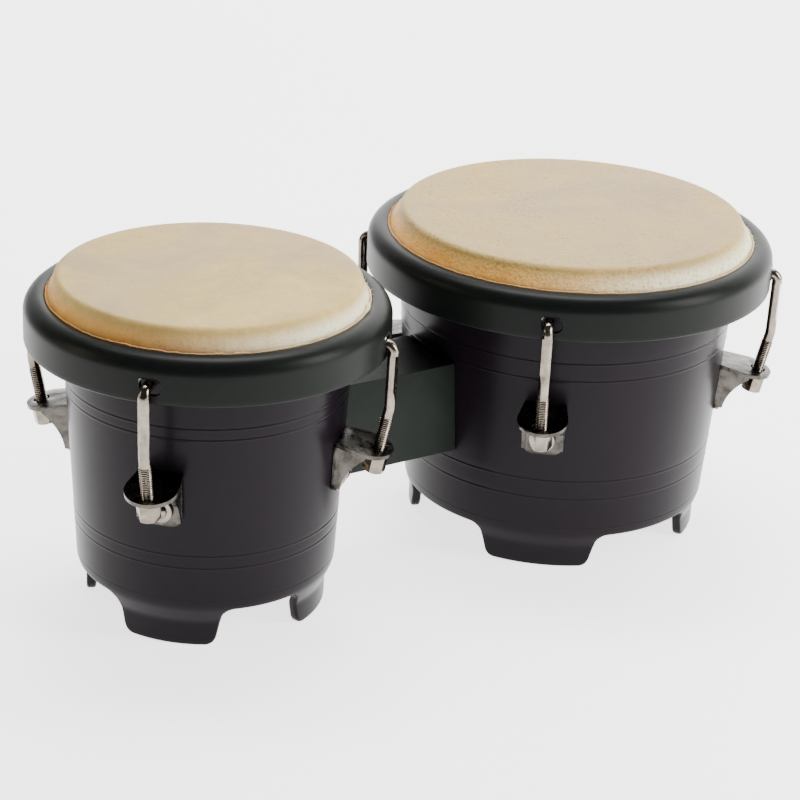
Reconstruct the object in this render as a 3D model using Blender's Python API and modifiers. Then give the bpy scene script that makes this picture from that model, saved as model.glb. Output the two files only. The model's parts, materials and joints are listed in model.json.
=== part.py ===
"""Bongo drums: two tapered shells on a centre block, each with a tucked rawhide head pulled down by a steel hoop.

Metres, +Z up. The origin is under the middle of the pair, on the plane the feet stand on, and +X runs from the
small drum to the large one. Each drum is modelled round its own axis, turned a little about it by its clocking.
A rod station is a frame at each of the four rods of a drum: +X points outwards, +Y along the rim.
"""

from dataclasses import dataclass
from math import cos, hypot, pi, radians, sin, tan

import bmesh
import bpy
from mathutils import Matrix, Vector

# Driving dimensions shared by both drums.
GAP = 0.0003  # clearance between pieces that touch
SIDES = 36  # facets of every turned piece
HEAD_TOP = 0.168
COLLAR_BOTTOM = 0.157  # where the skin's collar goes inside the hoop's lip
SKIN = 0.0009
BEARING_HEIGHT = 0.1668
HOOP_BOTTOM = 0.136
HOOP_REACH = 0.0113  # from the collar out to the hoop's skirt
HOOP_SHEET = 0.002
CROWN_RADIUS = 0.008
CROWN_CENTRE_HEIGHT = 0.150
LIP_ANGLE = radians(102)
RING_WIRE_RADIUS = 0.0025
RING_OFFSET = 0.0034  # from the collar out to the flesh ring's centre line
RING_HEIGHT = 0.1519
WALL = 0.0048
WALL_TOP_HEIGHT = 0.134  # height at which wall_top is given

# Tension rods and tuning nuts.
ROD_RADIUS = 0.00265
THREAD_RADIUS = 0.00295
ROD_TILT = radians(11.5)  # lean of the rod's threaded end
ARM_HEIGHT = 0.1435
ARM_LENGTH = 0.009
BEND_RADIUS = 0.0038
ROD_STANDOFF = 0.0034  # from the hoop's skirt out to the rod's centre line
KINK_HEIGHT = 0.1113
KINK_LENGTH = 0.004
THREAD_TOP = 0.0179  # all along the thread's axis, from the tongue's mid-plane
THREAD_END = -0.0110
NUT_ACROSS_FLATS = 0.010
NUT_HEIGHT = 0.010
SLOT_WIDTH = 0.010
SLOT_TALL = 0.0072
SLOT_SHIFT = 0.0018  # the slot's middle stands this far along the rim from the rod

# Lugs and their screws.
TONGUE_HEIGHT = 0.0893  # of the rod hole's centre, in the middle of the tongue
TONGUE_INSET = 0.0017  # from the hoop's skirt in to the rod hole
TONGUE_THICKNESS = 0.002
TONGUE_NOSE = 0.0126  # radius of the tongue's round end
NOSE_INSET = 0.0056  # from the rod hole back to the centre of that round end
TONGUE_BACK_HALF_WIDTH = 0.0105
ROD_HOLE = (0.0040, 0.0046)  # half the hole, outwards and along the rim
LUG_PLATE = 0.002
LUG_BOTTOM = 0.067
LUG_TOP = 0.0918
WEB_THICKNESS = 0.0018
LUG_SCREW_HEIGHT = 0.0751
LUG_SCREW_RADIUS = 0.002
WASHER_RADIUS = 0.0061
WASHER_THICKNESS = 0.0011
SCREW_HEAD_RADIUS = 0.0036
SCREW_HEAD_HEIGHT = 0.0024

# Centre block and its bolts.
BLOCK_HALF_DEPTH = 0.0215
BLOCK_BOTTOM = 0.0565
BLOCK_TOP = 0.105
BOLT_RADIUS = 0.0025
BOLT_HEAD_RADIUS = 0.005
BOLT_HEAD_HEIGHT = 0.003
BOLT_GRIP = 0.016  # length of bolt inside the block
BOLT_OFFSET = 0.014  # of each bolt above and below the block's middle
PLATE_HALF_WIDTH = 0.014
PLATE_HALF_HEIGHT = 0.022
PLATE_THICKNESS = 0.002

STATION_AZIMUTHS = {1: 45, 2: 135, 3: 225, 4: 315}
LENGTHWAYS = Matrix.Rotation(pi / 2, 4, "Y")  # turns a +Z axis to +X


@dataclass
class Drum:
    name: str
    centre_x: float
    clocking: float
    block_side: int  # +1 if the block is on the drum's +X side
    flat_radius: float  # of the head's flat top
    collar_radius: float  # of the collar where it enters the hoop
    wall_top: float  # outer radius of the shell under the hoop
    wall_base: float  # outer radius of the shell above its bottom chamfer
    base_height: float
    foot_radius: float
    foot_height: float  # height at which the bottom chamfer meets the feet
    arch_height: float
    arch_half_width: float

    def wall(self, height):
        """Outer radius of the tapered shell at a height."""
        share = (height - self.base_height) / (WALL_TOP_HEIGHT - self.base_height)
        return self.wall_base + share * (self.wall_top - self.wall_base)

    @property
    def taper(self):
        return (self.wall_top - self.wall_base) / (WALL_TOP_HEIGHT - self.base_height)

    @property
    def hoop_radius(self):
        return self.collar_radius + HOOP_REACH

    @property
    def rod_hole(self):
        return Vector((self.hoop_radius - TONGUE_INSET, 0, TONGUE_HEIGHT))


DRUMS = (
    Drum("small", -0.115, radians(-1.5), 1, 0.072, 0.076, 0.069, 0.0635, 0.0225, 0.059, 0.0125, 0.0205, 0.020),
    Drum("large", 0.097, radians(3.5), -1, 0.088, 0.094, 0.0875, 0.080, 0.0195, 0.077, 0.0115, 0.018, 0.030),
)


# Scene, collections and materials.
def clear_scene():
    for obj in list(bpy.data.objects):
        bpy.data.objects.remove(obj)


def new_collection(name):
    collection = bpy.data.collections.new(name)
    bpy.context.scene.collection.children.link(collection)
    return collection


def new_material(name, colour, roughness, metallic=0.0):
    material = bpy.data.materials.new(name)
    material.use_nodes = True
    shader = material.node_tree.nodes["Principled BSDF"]
    shader.inputs["Base Color"].default_value = (*colour, 1)
    shader.inputs["Roughness"].default_value = roughness
    shader.inputs["Metallic"].default_value = metallic
    material.diffuse_color = (*colour, 1)
    return material


clear_scene()
PARTS = new_collection("bongo_drums")
CUTTERS = new_collection("cutters")
SHELL_PLASTIC = new_material("shell_plastic", (0.013, 0.010, 0.013), 0.28)
HOOP_ENAMEL = new_material("hoop_enamel", (0.014, 0.018, 0.015), 0.35)
BLOCK_ENAMEL = new_material("block_enamel", (0.018, 0.024, 0.020), 0.45)
RAWHIDE = new_material("rawhide", (0.68, 0.53, 0.36), 0.6)
NICKEL = new_material("nickel_plate", (0.60, 0.56, 0.51), 0.25, 1.0)
STEEL_WIRE = new_material("steel_wire", (0.45, 0.44, 0.42), 0.4, 1.0)


# Modelling helpers.
def add_object(name, data, parent=None, collection=PARTS, matrix=None):
    obj = bpy.data.objects.new(name, data)
    collection.objects.link(obj)
    obj.parent = parent
    if matrix is not None:
        obj.matrix_basis = matrix
    if collection is CUTTERS:
        obj.hide_render = True
        obj.display_type = "WIRE"
    return obj


def add_frame(name, parent=None, location=(0, 0, 0), turn=0.0):
    frame = add_object(name, None, parent)
    frame.empty_display_size = 0.01
    frame.location = location
    frame.rotation_euler = (0, 0, turn)
    return frame


def turned(name, profile, closed, parent=None, collection=PARTS, sides=SIDES, matrix=None):
    """Turns a profile of (radius, height) points, outer side downwards, round the object's Z axis."""
    mesh = bpy.data.meshes.new(name)
    count = len(profile)
    edges = [(i, i + 1) for i in range(count - 1)]
    if closed:
        edges.append((count - 1, 0))
    mesh.from_pydata([(radius, 0, height) for radius, height in profile], edges, [])
    obj = add_object(name, mesh, parent, collection, matrix)
    screw = obj.modifiers.new("turn", "SCREW")
    screw.steps = sides
    screw.render_steps = sides
    screw.use_merge_vertices = True
    screw.merge_threshold = 0.00001
    return obj


def cylinder(name, radius, start, end, parent=None, collection=CUTTERS, sides=12, matrix=None, flatten=1.0):
    """A closed cylinder along the object's Z axis, from start to end. flatten narrows it along X."""
    mesh = bpy.data.meshes.new(name)
    form = bmesh.new()
    bmesh.ops.create_cone(
        form, cap_ends=True, segments=sides, radius1=radius, radius2=radius, depth=end - start
    )
    bmesh.ops.scale(form, vec=(flatten, 1, 1), verts=form.verts)
    bmesh.ops.translate(form, vec=(0, 0, (start + end) / 2), verts=form.verts)
    form.to_mesh(mesh)
    form.free()
    return add_object(name, mesh, parent, collection, matrix)


def box(name, low, high, parent=None, collection=CUTTERS, matrix=None):
    mesh = bpy.data.meshes.new(name)
    form = bmesh.new()
    bmesh.ops.create_cube(form, size=1)
    size = Vector(high) - Vector(low)
    bmesh.ops.scale(form, vec=size, verts=form.verts)
    bmesh.ops.translate(form, vec=(Vector(low) + Vector(high)) / 2, verts=form.verts)
    form.to_mesh(mesh)
    form.free()
    return add_object(name, mesh, parent, collection, matrix)


def plate(name, outline, thickness, parent=None, collection=CUTTERS, matrix=None):
    """A flat plate centred on the object's XY plane, cut to an outline of (x, y) points, as a mesh."""
    curve = bpy.data.curves.new(name, "CURVE")
    curve.dimensions = "2D"
    curve.fill_mode = "BOTH"
    curve.extrude = thickness / 2
    spline = curve.splines.new("POLY")
    spline.points.add(len(outline) - 1)
    for point, (x, y) in zip(spline.points, outline):
        point.co = (x, y, 0, 1)
    spline.use_cyclic_u = True
    drawn = add_object(name + "_outline", curve, parent, collection, matrix)
    bpy.context.view_layer.update()
    mesh = mesh_of(drawn)
    form = bmesh.new()
    form.from_mesh(mesh)
    bmesh.ops.remove_doubles(form, verts=form.verts, dist=0.000001)
    bmesh.ops.recalc_face_normals(form, faces=form.faces)
    form.to_mesh(mesh)
    form.free()
    bpy.data.objects.remove(drawn)
    return add_object(name, mesh, parent, collection, matrix)


def mesh_of(obj):
    bpy.context.view_layer.update()
    graph = bpy.context.evaluated_depsgraph_get()
    return bpy.data.meshes.new_from_object(obj.evaluated_get(graph))


def combine(obj, operation, *others):
    for other in others:
        modifier = obj.modifiers.new(operation.lower(), "BOOLEAN")
        modifier.operation = operation
        modifier.solver = "EXACT"
        modifier.object = other


def finish(obj, material, smooth_angle=radians(32)):
    """Makes the modifiers' result the object's own mesh, shades it and gives it its material."""
    mesh = mesh_of(obj)
    obj.modifiers.clear()
    obj.data = mesh
    mesh.shade_smooth()
    mesh.set_sharp_from_angle(angle=smooth_angle)
    mesh.materials.clear()
    mesh.materials.append(material)
    return obj


def arc(centre, radius, start, end, count):
    """Points on an arc from the start to the end angle, both included."""
    angles = [start + (end - start) * i / (count - 1) for i in range(count)]
    return [(centre[0] + radius * cos(a), centre[1] + radius * sin(a)) for a in angles]


def band_sides(path, thickness):
    """The left and right sides of a sheet of this thickness whose middle follows the path."""
    left, right = [], []
    for i, (x, y) in enumerate(path):
        before = path[max(i - 1, 0)]
        after = path[min(i + 1, len(path) - 1)]
        along = (after[0] - before[0], after[1] - before[1])
        reach = thickness / 2 / hypot(*along)
        left.append((x - along[1] * reach, y + along[0] * reach))
        right.append((x + along[1] * reach, y - along[0] * reach))
    return left, right


def four_copies(obj, turn):
    """Repeats a cutter's mesh at quarter turns round its parent's Z axis, starting at turn."""
    form = bmesh.new()
    for quarter in range(4):
        copy = obj.data.copy()
        copy.transform(Matrix.Rotation(turn + quarter * pi / 2, 4, "Z") @ obj.matrix_basis)
        form.from_mesh(copy)
        bpy.data.meshes.remove(copy)
    form.to_mesh(obj.data)
    form.free()
    obj.matrix_basis = Matrix.Identity(4)
    return obj


# Shell.
def outer_wall(drum, allowance=0.0):
    """The shell's outer side, top to bottom, moved outwards by the allowance."""
    rim = drum.flat_radius - SKIN + 0.0001
    return [
        (rim + allowance, BEARING_HEIGHT - 0.0020),
        (drum.wall_top + allowance, WALL_TOP_HEIGHT),
        (drum.wall_base + allowance, drum.base_height),
        (drum.foot_radius + allowance, drum.foot_height),
        (drum.foot_radius + allowance, 0.0006),
    ]


def shell_section(drum):
    rim = drum.flat_radius - SKIN + 0.0001
    crest = [(rim - 0.0024, BEARING_HEIGHT), (rim - 0.0009, BEARING_HEIGHT - 0.0005)]
    foot = [(drum.foot_radius - 0.0007, 0), (drum.foot_radius - WALL, 0)]
    inside = [
        (drum.foot_radius - WALL, drum.foot_height - 0.0015),
        (drum.wall_base - WALL, drum.base_height),
        (drum.wall_top - WALL, WALL_TOP_HEIGHT),
        (rim - WALL - 0.0006, BEARING_HEIGHT - 0.0045),
    ]
    return crest + outer_wall(drum) + foot + inside


def arch_outline(drum):
    """One side of the gap between two feet, then its mirror image: it widens to the floor and is round above."""
    fillet = 0.0055
    side = [
        (drum.arch_half_width + 0.0075, -0.004),
        (drum.arch_half_width + 0.0075, 0),
        (drum.arch_half_width + 0.0038, 0.0014),
        (drum.arch_half_width + 0.0021, 0.0045),
    ]
    side += arc((drum.arch_half_width - fillet, drum.arch_height - fillet), fillet, 0, pi / 2, 4)
    return side + [(-x, z) for x, z in reversed(side)]


def build_shell(drum, frame):
    shell = turned(drum.name + "_shell", shell_section(drum), True, frame)
    upright = Matrix(((0, 0, 1, 0), (1, 0, 0, 0), (0, 1, 0, 0), (0, 0, 0, 1)))
    arches = plate(
        drum.name + "_arches",
        arch_outline(drum),
        0.030,
        frame,
        matrix=Matrix.Translation((drum.foot_radius, 0, 0)) @ upright,
    )
    four_copies(arches, 0)
    lug_holes = cylinder(
        drum.name + "_lug_holes",
        LUG_SCREW_RADIUS + GAP,
        -0.010,
        0.010,
        frame,
        matrix=lug_screw_place(drum),
    )
    four_copies(lug_holes, pi / 4)
    combine(shell, "DIFFERENCE", arches, lug_holes)
    for level in (-1, 1):
        hole = cylinder(
            f"{drum.name}_bolt_hole_{level}",
            BOLT_RADIUS + GAP,
            -0.012,
            0.012,
            matrix=block_bolt_place(drum, level),
        )
        combine(shell, "DIFFERENCE", hole)
    return finish(shell, SHELL_PLASTIC)


# Head, flesh ring and hoop.
def skin_path(drum):
    """The middle of the skin, from the drum's axis over the bearing edge, then round the flesh ring."""
    top = HEAD_TOP - SKIN / 2
    ring = (drum.collar_radius + RING_OFFSET, RING_HEIGHT)
    wrap = RING_WIRE_RADIUS + GAP + SKIN / 2
    over_edge = [
        (drum.flat_radius - 0.0030, top),
        (drum.flat_radius - 0.0010, top - 0.0006),
        (drum.flat_radius + 0.0004, top - 0.0026),
    ]
    collar = (drum.collar_radius - SKIN / 2, COLLAR_BOTTOM)
    return [(0, top)] + over_edge + [collar] + arc(ring, wrap, pi, 2 * pi + radians(120), 8)


def build_head(drum, frame):
    over, under = band_sides(skin_path(drum), SKIN)
    over[0] = (0, HEAD_TOP)
    under[0] = (0, HEAD_TOP - SKIN)
    head = turned(drum.name + "_head", over + under[::-1], False, frame)
    return finish(head, RAWHIDE)


def build_flesh_ring(drum, frame):
    centre = (drum.collar_radius + RING_OFFSET, RING_HEIGHT)
    section = arc(centre, RING_WIRE_RADIUS, pi / 2, -3 * pi / 2, 9)[:-1]
    ring = turned(drum.name + "_flesh_ring", section, True, frame)
    return finish(ring, STEEL_WIRE, radians(60))


def build_hoop(drum, frame):
    middle = drum.hoop_radius - HOOP_SHEET / 2
    crown_centre = (drum.hoop_radius - CROWN_RADIUS, CROWN_CENTRE_HEIGHT)
    crown = arc(crown_centre, CROWN_RADIUS - HOOP_SHEET / 2, LIP_ANGLE, 0, 6)
    outside, inside = band_sides(crown + [(middle, HOOP_BOTTOM)], HOOP_SHEET)
    hoop = turned(drum.name + "_hoop", outside + inside[::-1], True, frame)
    slot_bottom = ARM_HEIGHT - ROD_RADIUS - GAP
    slots = box(
        drum.name + "_slots",
        (-0.006, SLOT_SHIFT - SLOT_WIDTH / 2, slot_bottom),
        (0.006, SLOT_SHIFT + SLOT_WIDTH / 2, slot_bottom + SLOT_TALL),
        frame,
        matrix=Matrix.Translation((middle, 0, 0)),
    )
    four_copies(slots, pi / 4)
    combine(hoop, "DIFFERENCE", slots)
    return finish(hoop, HOOP_ENAMEL)


# Tension rod and tuning nut.
def thread_place(drum):
    """The threaded end's axis: its origin is in the middle of the lug's tongue and +Z points up the rod."""
    return Matrix.Translation(drum.rod_hole) @ Matrix.Rotation(ROD_TILT, 4, "Y")


def rod_points(drum):
    """(outwards, height, thickness) along the rod's middle, from its arm inside the hoop to its threaded end."""
    out = drum.hoop_radius + ROD_STANDOFF
    bend_centre = (out - BEND_RADIUS, ARM_HEIGHT - BEND_RADIUS)
    hole = drum.rod_hole
    kink = (hole.x + (KINK_HEIGHT - hole.z) * tan(ROD_TILT), KINK_HEIGHT)
    bend_end = (out, bend_centre[1])
    upper = Vector((bend_end[0] - kink[0], bend_end[1] - kink[1])).normalized() * KINK_LENGTH / 2
    thread_axis = Vector((sin(ROD_TILT), cos(ROD_TILT)))
    points = [(drum.hoop_radius - ARM_LENGTH, ARM_HEIGHT, ROD_RADIUS)]
    points += [(*point, ROD_RADIUS) for point in arc(bend_centre, BEND_RADIUS, pi / 2, 0, 4)]
    points.append((kink[0] + upper.x, kink[1] + upper.y, ROD_RADIUS))
    lower = Vector(kink) - thread_axis * KINK_LENGTH / 2
    points.append((*lower, ROD_RADIUS))
    threaded = ((THREAD_TOP + 0.0004, ROD_RADIUS), (THREAD_TOP, THREAD_RADIUS), (THREAD_END, THREAD_RADIUS))
    for along, radius in threaded:
        points.append((hole.x + thread_axis.x * along, hole.z + thread_axis.y * along, radius))
    return points


def build_rod(drum, number, station):
    curve = bpy.data.curves.new(f"{drum.name}_tension_rod", "CURVE")
    curve.dimensions = "3D"
    curve.bevel_depth = ROD_RADIUS
    curve.bevel_resolution = 2
    curve.use_fill_caps = True
    spline = curve.splines.new("POLY")
    points = rod_points(drum)
    spline.points.add(len(points) - 1)
    place = thread_place(drum)
    to_local = place.inverted()
    for point, (out, height, radius) in zip(spline.points, points):
        point.co = (*(to_local @ Vector((out, 0, height))), 1)
        point.radius = radius / ROD_RADIUS
    rod = add_object(f"{drum.name}_tension_rod_{number}", curve, station, matrix=place)
    curve.materials.append(NICKEL)
    return rod


def build_nut(drum, number, station):
    place = thread_place(drum)
    top = -TONGUE_THICKNESS / 2 - GAP
    corner = NUT_ACROSS_FLATS / 2 / cos(pi / 6)
    nut = cylinder(
        f"{drum.name}_tuning_nut_{number}",
        corner,
        top - NUT_HEIGHT,
        top,
        station,
        PARTS,
        sides=6,
        matrix=place,
    )
    hole = cylinder(
        f"{drum.name}_nut_hole_{number}",
        THREAD_RADIUS + GAP,
        top - NUT_HEIGHT - 0.002,
        top + 0.002,
        station,
        matrix=place,
    )
    combine(nut, "DIFFERENCE", hole)
    return finish(nut, NICKEL)


# Lug, its screw and the nut inside the shell.
def lug_screw_place(drum):
    """The lug screw's axis, square to the tapered wall: its origin is on the wall and +Z points outwards."""
    slope = Matrix.Rotation(pi / 2 + drum.taper, 4, "Y")
    return Matrix.Translation((drum.wall(LUG_SCREW_HEIGHT), 0, LUG_SCREW_HEIGHT)) @ slope


def tongue_outline(drum):
    """The tongue seen square on, as (outwards, along the rim) points from the rod hole."""
    back = drum.rod_hole.x - drum.wall(LUG_TOP) + 0.001
    nose = arc((-NOSE_INSET, 0), TONGUE_NOSE, -radians(100), radians(100), 13)
    return [(-back, -TONGUE_BACK_HALF_WIDTH)] + nose + [(-back, TONGUE_BACK_HALF_WIDTH)]


def web_outline(drum):
    """The side web in the station's (outwards, height) plane, let into the plate and the tongue."""
    hole = drum.rod_hole
    plate_middle = LUG_PLATE / 2 + GAP
    front = hole.x - 0.0045
    rise = tan(ROD_TILT)
    back = drum.wall(LUG_TOP - 0.001) + plate_middle
    return [
        (drum.wall(LUG_BOTTOM + 0.001) + plate_middle, LUG_BOTTOM + 0.001),
        (drum.wall(LUG_BOTTOM + 0.001) + plate_middle + 0.0030, LUG_BOTTOM + 0.0010),
        (hole.x - 0.0100, TONGUE_HEIGHT - 0.0075),
        (front, TONGUE_HEIGHT + 0.0045 * rise - 0.0022),
        (front, TONGUE_HEIGHT + 0.0045 * rise),
        (back, TONGUE_HEIGHT + rise * (hole.x - drum.wall(LUG_TOP) - plate_middle)),
    ]


def build_lug_mesh(drum, drum_frame, station):
    """The lug of the first station. The other stations share its mesh."""
    screw_place = lug_screw_place(drum)
    half_turn_up = Matrix.Rotation(-pi / 2, 4, "Y")
    plate_frame = screw_place @ half_turn_up
    lug = box(
        drum.name + "_lug",
        (-0.0005, -TONGUE_BACK_HALF_WIDTH, LUG_BOTTOM - LUG_SCREW_HEIGHT),
        (LUG_PLATE + GAP, TONGUE_BACK_HALF_WIDTH, LUG_TOP - LUG_SCREW_HEIGHT),
        station,
        PARTS,
        matrix=plate_frame,
    )
    tongue = plate(drum.name + "_tongue", tongue_outline(drum), TONGUE_THICKNESS, station, matrix=thread_place(drum))
    on_edge = Matrix(((1, 0, 0, 0), (0, 0, -1, 0), (0, 1, 0, 0), (0, 0, 0, 1)))
    combine(lug, "UNION", tongue)
    for side in (-1, 1):
        web_y = side * (TONGUE_BACK_HALF_WIDTH - WEB_THICKNESS / 2 - 0.0001)
        web = plate(
            f"{drum.name}_web_{side}",
            web_outline(drum),
            WEB_THICKNESS,
            station,
            matrix=Matrix.Translation((0, web_y, 0)) @ on_edge,
        )
        combine(lug, "UNION", web)
    rod_hole = cylinder(
        drum.name + "_rod_hole",
        ROD_HOLE[1],
        -0.005,
        0.005,
        station,
        matrix=thread_place(drum),
        flatten=ROD_HOLE[0] / ROD_HOLE[1],
    )
    screw_hole = cylinder(
        drum.name + "_screw_hole", LUG_SCREW_RADIUS + GAP, -0.010, 0.010, station, matrix=screw_place
    )
    wall = [(0, 0.150), (drum.wall(0.150) + GAP, 0.150), (drum.wall(0.030) + GAP, 0.030), (0, 0.030)]
    envelope = turned(drum.name + "_wall_envelope", wall, False, drum_frame, CUTTERS)
    combine(lug, "DIFFERENCE", rod_hole, screw_hole, envelope)
    return finish(lug, NICKEL), envelope


def lug_screw_section():
    """The screw with its washer under the head, from the tip of the head to the end of the shank."""
    seat = LUG_PLATE + 2 * GAP
    washer_top = seat + WASHER_THICKNESS
    head = [
        (0, washer_top + SCREW_HEAD_HEIGHT),
        (SCREW_HEAD_RADIUS * 0.6, washer_top + SCREW_HEAD_HEIGHT * 0.8),
        (SCREW_HEAD_RADIUS, washer_top + SCREW_HEAD_HEIGHT * 0.25),
        (SCREW_HEAD_RADIUS, washer_top),
    ]
    washer = [(WASHER_RADIUS, washer_top), (WASHER_RADIUS, seat)]
    shank = [(LUG_SCREW_RADIUS, seat), (LUG_SCREW_RADIUS, -0.0105), (0, -0.0105)]
    return head + washer + shank


def build_lug_screw(drum, number, station):
    screw = turned(
        f"{drum.name}_lug_screw_{number}",
        lug_screw_section(),
        False,
        station,
        sides=16,
        matrix=lug_screw_place(drum),
    )
    return finish(screw, NICKEL)


def build_lug_screw_nut(drum, number, station):
    inner_wall = -WALL - GAP - 0.0003
    nut = cylinder(
        f"{drum.name}_lug_screw_nut_{number}",
        0.0040,
        inner_wall - 0.0032,
        inner_wall,
        station,
        PARTS,
        sides=6,
        matrix=lug_screw_place(drum),
    )
    hole = cylinder(
        f"{drum.name}_lug_nut_hole_{number}",
        LUG_SCREW_RADIUS + GAP,
        inner_wall - 0.005,
        inner_wall + 0.002,
        station,
        matrix=lug_screw_place(drum),
    )
    combine(nut, "DIFFERENCE", hole)
    return finish(nut, NICKEL)


# Centre block with its bolts and backing plates.
def block_bolt_place(drum, level):
    """A block bolt's axis: its origin is on the shell's outer wall and +Z points into the block."""
    height = (BLOCK_BOTTOM + BLOCK_TOP) / 2 + level * BOLT_OFFSET
    place = Matrix.Translation((drum.centre_x + drum.block_side * drum.wall(height), 0, height))
    return place @ (LENGTHWAYS if drum.block_side > 0 else LENGTHWAYS.inverted())


def build_block_bolt(drum, level):
    seat = -WALL - PLATE_THICKNESS - 4 * GAP
    section = [
        (0, BOLT_GRIP),
        (BOLT_RADIUS, BOLT_GRIP),
        (BOLT_RADIUS, seat),
        (BOLT_HEAD_RADIUS, seat),
        (BOLT_HEAD_RADIUS, seat - BOLT_HEAD_HEIGHT * 0.6),
        (BOLT_HEAD_RADIUS * 0.6, seat - BOLT_HEAD_HEIGHT),
        (0, seat - BOLT_HEAD_HEIGHT),
    ]
    name = {1: "upper", -1: "lower"}[level]
    bolt = turned(
        f"{drum.name}_block_bolt_{name}", section, False, sides=16, matrix=block_bolt_place(drum, level)
    )
    return finish(bolt, NICKEL)


def build_backing_plate(drum, frame):
    """A curved plate inside the shell, under the heads of its two block bolts."""
    middle = (BLOCK_BOTTOM + BLOCK_TOP) / 2
    low, high = middle - PLATE_HALF_HEIGHT, middle + PLATE_HALF_HEIGHT
    gap = WALL + GAP
    section = [
        (drum.wall(high) - gap, high),
        (drum.wall(low) - gap, low),
        (drum.wall(low) - gap - PLATE_THICKNESS, low),
        (drum.wall(high) - gap - PLATE_THICKNESS, high),
    ]
    band = turned(drum.name + "_backing_plate", section, True, frame)
    reach = drum.block_side * (drum.wall_top + 0.02)
    window = box(
        drum.name + "_plate_window",
        (min(0, reach), -PLATE_HALF_WIDTH, 0),
        (max(0, reach), PLATE_HALF_WIDTH, 0.2),
        matrix=Matrix.Translation((drum.centre_x, 0, 0)),
    )
    combine(band, "INTERSECT", window)
    for level in (-1, 1):
        hole = cylinder(
            f"{drum.name}_plate_hole_{level}", BOLT_RADIUS + GAP, -0.015, 0, matrix=block_bolt_place(drum, level)
        )
        combine(band, "DIFFERENCE", hole)
    return finish(band, NICKEL)


def build_block(envelopes):
    small, large = DRUMS
    block = box(
        "centre_block",
        (small.centre_x + small.wall_base - 0.009, -BLOCK_HALF_DEPTH, BLOCK_BOTTOM),
        (large.centre_x - large.wall_base + 0.007, BLOCK_HALF_DEPTH, BLOCK_TOP),
        collection=PARTS,
    )
    combine(block, "DIFFERENCE", *envelopes)
    for drum in DRUMS:
        for level in (-1, 1):
            hole = cylinder(
                f"{drum.name}_block_hole_{level}",
                BOLT_RADIUS + GAP,
                -0.010,
                BOLT_GRIP + 0.001,
                matrix=block_bolt_place(drum, level),
            )
            combine(block, "DIFFERENCE", hole)
    return finish(block, BLOCK_ENAMEL)


def build_drum(drum):
    """Builds one drum and returns the cutter that follows its outer wall."""
    frame = add_frame(drum.name + "_axis", None, (drum.centre_x, 0, 0), drum.clocking)
    build_shell(drum, frame)
    build_head(drum, frame)
    build_flesh_ring(drum, frame)
    build_hoop(drum, frame)
    build_backing_plate(drum, frame)
    stations = {
        number: add_frame(f"{drum.name}_station_{number}", frame, turn=radians(azimuth))
        for number, azimuth in STATION_AZIMUTHS.items()
    }
    first_lug, envelope = build_lug_mesh(drum, frame, stations[1])
    for number, station in stations.items():
        if number > 1:
            add_object(f"{drum.name}_lug_{number}", first_lug.data, station, matrix=first_lug.matrix_basis.copy())
        build_rod(drum, number, station)
        build_nut(drum, number, station)
        build_lug_screw(drum, number, station)
        build_lug_screw_nut(drum, number, station)
    first_lug.name = f"{drum.name}_lug_1"
    for level in (-1, 1):
        build_block_bolt(drum, level)
    return envelope


build_block([build_drum(drum) for drum in DRUMS])
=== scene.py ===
import json
import math

import bmesh
import bpy
import numpy as np
from mathutils import Matrix, Vector, noise


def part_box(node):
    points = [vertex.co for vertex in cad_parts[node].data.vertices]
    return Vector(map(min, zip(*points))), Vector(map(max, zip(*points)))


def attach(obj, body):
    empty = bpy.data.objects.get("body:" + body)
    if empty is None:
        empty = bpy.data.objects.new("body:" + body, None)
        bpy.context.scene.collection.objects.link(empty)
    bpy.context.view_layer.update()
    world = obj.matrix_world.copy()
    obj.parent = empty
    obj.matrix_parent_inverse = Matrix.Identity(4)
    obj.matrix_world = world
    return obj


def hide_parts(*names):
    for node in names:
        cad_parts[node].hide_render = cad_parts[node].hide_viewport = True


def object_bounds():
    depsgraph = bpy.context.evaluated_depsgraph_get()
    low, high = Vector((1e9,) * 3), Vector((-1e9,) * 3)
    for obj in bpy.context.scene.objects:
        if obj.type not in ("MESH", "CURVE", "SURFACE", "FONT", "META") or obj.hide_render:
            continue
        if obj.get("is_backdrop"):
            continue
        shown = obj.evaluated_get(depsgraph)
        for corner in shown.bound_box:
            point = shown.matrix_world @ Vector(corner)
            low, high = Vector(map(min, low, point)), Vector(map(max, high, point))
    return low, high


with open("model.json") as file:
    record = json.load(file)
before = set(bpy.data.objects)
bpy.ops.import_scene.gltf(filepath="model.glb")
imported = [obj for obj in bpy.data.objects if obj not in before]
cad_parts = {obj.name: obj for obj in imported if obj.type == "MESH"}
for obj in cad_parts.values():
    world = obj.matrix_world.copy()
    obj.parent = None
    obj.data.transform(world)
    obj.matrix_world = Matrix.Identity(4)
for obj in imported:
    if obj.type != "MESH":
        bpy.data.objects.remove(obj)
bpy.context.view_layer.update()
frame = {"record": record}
joints = {joint["name"]: joint for joint in frame["record"]["behaviour"]["joints"]}
print("frame loaded")


# Drum places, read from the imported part
def readDrum(name):
    low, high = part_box(name + "_shell")
    centre = Vector(((low.x + high.x) / 2, (low.y + high.y) / 2, 0))
    hoopLow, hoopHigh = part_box(name + "_hoop")
    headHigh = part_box(name + "_head")[1]
    firstNut = joints[name + "_nut_1_turn"]
    hole = Vector(firstNut["pos_m"]) - centre
    axis = Vector(firstNut["axis"])
    return {
        "name": name,
        "centre": centre,
        "hoopRadius": (hoopHigh.y - hoopLow.y) / 2,
        "hoopBottom": hoopLow.z,
        "headTop": headHigh.z,
        "stationTurn": math.atan2(hole.y, hole.x),
        "holeRadius": math.hypot(hole.x, hole.y),
        "holeHeight": hole.z,
        "tilt": math.acos(axis.z),
        "side": 1 if centre.x < 0 else -1,
    }


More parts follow.
